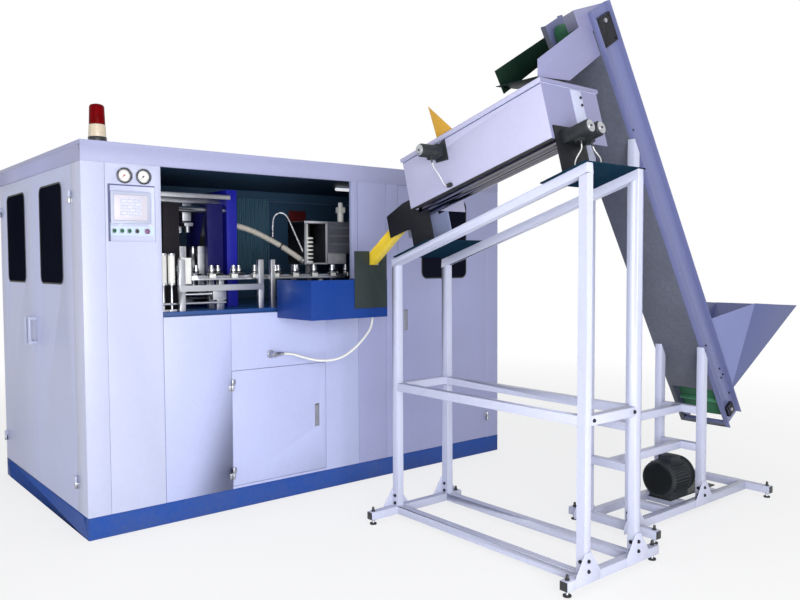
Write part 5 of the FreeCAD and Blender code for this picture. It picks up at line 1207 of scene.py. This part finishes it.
# the hopper's faces beyond x 3500 take the darker copy: painted shade
dress("loading_hopper", [HOPPER_PAINT, HOPPER_SHADE], lambda x, y, z: x > 3500, 0.8)
dress("discharge_chute", [BIN_SHADE_PAINT, GREEN_PAINT],
      lambda x, y, z: y > -1853 and z < 2600 and x < 2041, 0.8)
print("elevator dressed")

# %% [markdown]
# Every bolt head sits where a plate is fixed: two on each foot gusset, two on
# the left face of each post, one at each end of a mid rail, four on a bearing
# plate, and a row along the channel's web.

# %% Bolts on the stands
GUSSET_OUT, POST_OUT = 28, 23.2
POSTS = [(x, *row) for xs, rows in (((1560, 1960), ((-783, 1), (-2140, -1))),
                                    ((2335, 3075), ((-1870, -1), (-1585, 1))))
         for x in xs for row in rows]
stand_bolts = [station(CABINET, (x, y + side * GUSSET_OUT, z), (0, side, 0))
               for x, y, side in POSTS for z in (92, 140)]
stand_bolts += [station(CABINET, (x - POST_OUT, y, z), (-1, 0, 0), (0, 1, 0))
                for x, y, side in POSTS for z in (92, 136)]
stand_bolts += [station(CABINET, (x, y, 790), (0, side, 0))
                for x in (1601, 1924) for y, side in ((-2163, -1), (-760, 1))]
copy_onto("gusset_bolts", HEX_BOLT, stand_bolts, BLACK_STEEL, 1.15, 1.0)
print("bolts on the stands:", len(stand_bolts))

# %% Bolts on the elevator
WEB_BOLTS = [(222, -157), (315, -150), (441, -150), (678, -114), (701, -139), (958, -146),
             (2142, -97), (2167, -121), (2366, -39), (2422, -24), (2429, -50), (2573, -20)]
PLATE_BOLTS = [(64, -133), (190, -133), (64, -34), (190, -34), (2631, -106), (2679, -106),
               (2631, -58), (2679, -58)]
PLATE_OUT = 22
elevator_bolts = []
for side, web in ((-1, -1860), (1, -1580)):
    for spots, depth in ((WEB_BOLTS, web), (PLATE_BOLTS, web + PLATE_OUT * side)):
        elevator_bolts += [station(ELEVATOR, (run, depth, out), (0, side, 0)) for run, out in spots]
copy_onto("elevator_bolts", HEX_BOLT, elevator_bolts, BLACK_STEEL, 0.8, 1.0)
# a black strip on the web stands for the dark of a slot: painted shade
solid("web_slot", SEAL_RUBBER, [((738, 822), (-1861.2, -1859), (-146, -135), 0.5)],
      matrix=ELEVATOR)
print("elevator bolts:", len(elevator_bolts))

# %% [markdown]
# The foot tubes' ends are closed by black plugs, and every levelling foot has a
# nut on its stem and a dome over its top.

# %% Plugs, nuts and domes
FOOT_IN = 25
tube_ends = [(x, y, side, 0) for y, ends in ((-783, (1345, 2060)), (-2140, (1415, 2150)))
             for x, side in zip(ends, (-1, 1))]
tube_ends += [(x, y, 0, side) for x in (2335, 3628) for y, side in ((-2045, -1), (-1463, 1))]
feet = [(x - side * FOOT_IN, y - depth * FOOT_IN) for x, y, side, depth in tube_ends]
PLUG = ([((-21.5, 21.5), (-21.5, 21.5), (-1, 3), 2.4)], ())
NUT = ((), [([(0, 0), (11, 0), (12.5, 1.2), (12.5, 7.2), (11, 8.4), (0, 8.4)], 6)])
DOME = ((), [([(0, -1), (11, -1), (11, 7), (7.5, 8), (7.5, 21), (5, 26), (0, 27)], 16)])
plugs = [station(CABINET, (x, y, 53), (side, depth, 0)) for x, y, side, depth in tube_ends]
copy_onto("tube_plugs", PLUG, plugs, BLACK_PLASTIC)
for name, shape, height, finish, slot in (
        ("foot_domes", DOME, 76, BLACK_PLASTIC, "black_plastic"),
        ("foot_nuts", NUT, 21, STEEL, "steel")):
    copy_onto(name, shape, [station(CABINET, (x, y, height), UP, (1, 0, 0)) for x, y in feet],
              finish)
print("plugs:", len(plugs), "feet:", len(feet))

# %% Strip on the bin's end, screws round the gauges
solid("bin_end_strip", POST_PAINT,
      [((1768, 1852), (-1133.4, -1129.8), (32, 272), 0.8)], matrix=FEEDER)
copy_onto("bin_end_bolts", HEX_BOLT, [station(FEEDER, (1838, -1133.4, height), (0, -1, 0))
                                      for height in (236, 196)], BLACK_STEEL, 0.9)
SCREW_REACH = 39
CAP_SCREW = ((), [([(0, 0), (4.5, 0), (4.5, 2.2), (3.6, 3.0), (2.2, 3.0), (2.0, 1.2), (0, 1.2)],
                   12)])
screws = [station(CABINET, (middle + SCREW_REACH * math.cos(angle), -12,
                            GAUGE_Z + SCREW_REACH * math.sin(angle)), (0, -1, 0))
          for middle, finish in GAUGES.values()
          for angle in map(math.radians, (45, 135, 225, 315))]
copy_onto("gauge_screws", CAP_SCREW, screws, STEEL, 0.5)

# %% [markdown]
# The CAD nodes that stay as they are get their finish in their own slots. All
# that is left of them are the three tinted windows.

# %% Windows
for name in ("left_front_window", "left_rear_window", "right_window"):
    node = NODES[name]
    if not node.material_slots:
        node.data.materials.append(WINDOW)
    for material_slot in node.material_slots:
        material_slot.material = WINDOW
print("nodes shown as they are:", sorted(name for name in NODES if not NODES[name].hide_render))

# %% [markdown]
# The stage is a pale floor under a white sky. The sky is white only for rays
# that show it: the camera's own, and those that metal and glass send on. What
# lights the object is plainer and softer. The floor keeps the shadow near the
# machine and fades into the sky.

# %% World, floor and lamps
FADE_FROM, FADE_TO, FLOOR_REACH = 3.2, 7.5, 30.0   # metres from the middle
WHITE = (1, 1, 1)


def seen_rays(tree):
    """1 where a ray comes from the camera, a glossy surface or through glass."""
    path = add(tree, "ShaderNodeLightPath").outputs
    return sums(tree, path["Is Camera Ray"], ("MAXIMUM", path["Is Glossy Ray"]),
                ("MAXIMUM", path["Is Transmission Ray"]))


def blend(tree, factor, first, second):
    return add(tree, "ShaderNodeMixShader", {0: factor, 1: first.outputs[0],
                                             2: second.outputs[0]}).outputs[0]


def build_world():
    world = bpy.data.worlds.new("studio")
    bpy.context.scene.world = world
    world.use_nodes = True
    tree = world.node_tree
    tree.nodes.clear()
    lamp = add(tree, "ShaderNodeBackground", {"Color": (0.97, 0.98, 1.0), "Strength": 0.5})
    seen = add(tree, "ShaderNodeBackground", {"Color": WHITE, "Strength": 1.0})
    add(tree, "ShaderNodeOutputWorld", {0: blend(tree, seen_rays(tree), lamp, seen)})


def build_floor():
    mesh = bpy.data.meshes.new("floor")
    mesh.from_pydata([(-FLOOR_REACH, -FLOOR_REACH, 0), (FLOOR_REACH, -FLOOR_REACH, 0),
                      (FLOOR_REACH, FLOOR_REACH, 0), (-FLOOR_REACH, FLOOR_REACH, 0)],
                     [], [(0, 1, 2, 3)])
    material, tree, shader, coords = start_material("floor_white")
    feed(tree, shader, {"Base Color": (0.9, 0.9, 0.9), "Roughness": 0.9})
    glow = add(tree, "ShaderNodeEmission", {"Color": WHITE, "Strength": 1.0})
    distance = add(tree, "ShaderNodeVectorMath", {0: coords}, operation="LENGTH")
    fade = add(tree, "ShaderNodeMapRange", {"From Min": FADE_FROM, "From Max": FADE_TO,
                                            "To Min": 0.72, "Value": distance.outputs["Value"]})
    share = sums(tree, fade.outputs[0], ("MULTIPLY", seen_rays(tree)))
    feed(tree, tree.nodes["Material Output"], {0: blend(tree, share, shader, glow)})
    mesh.materials.append(material)
    floor = new_object("floor", mesh)


def area_lamp(name, spot, aim, size, power):
    lamp = new_object(name, bpy.data.lights.new(name, "AREA"))
    lamp.data.shape = "RECTANGLE"
    lamp.data.size, lamp.data.size_y = size
    lamp.data.energy = power
    lamp.location = spot
    lamp.rotation_euler = (Vector(aim) - Vector(spot)).to_track_quat("-Z", "Y").to_euler()


build_world()
build_floor()
area_lamp("key_lamp", (-3.0, -6.6, 1.5), (-0.2, -1.0, 0.9), (4, 3), 320)
area_lamp("fill_lamp", (-7.5, -1.0, 2.5), (0, 0, 1.0), (4, 3), 28)
area_lamp("top_lamp", (1.0, -2.0, 7.0), (0, -0.8, 0), (6, 5), 25)
print("stage and lamps ready")
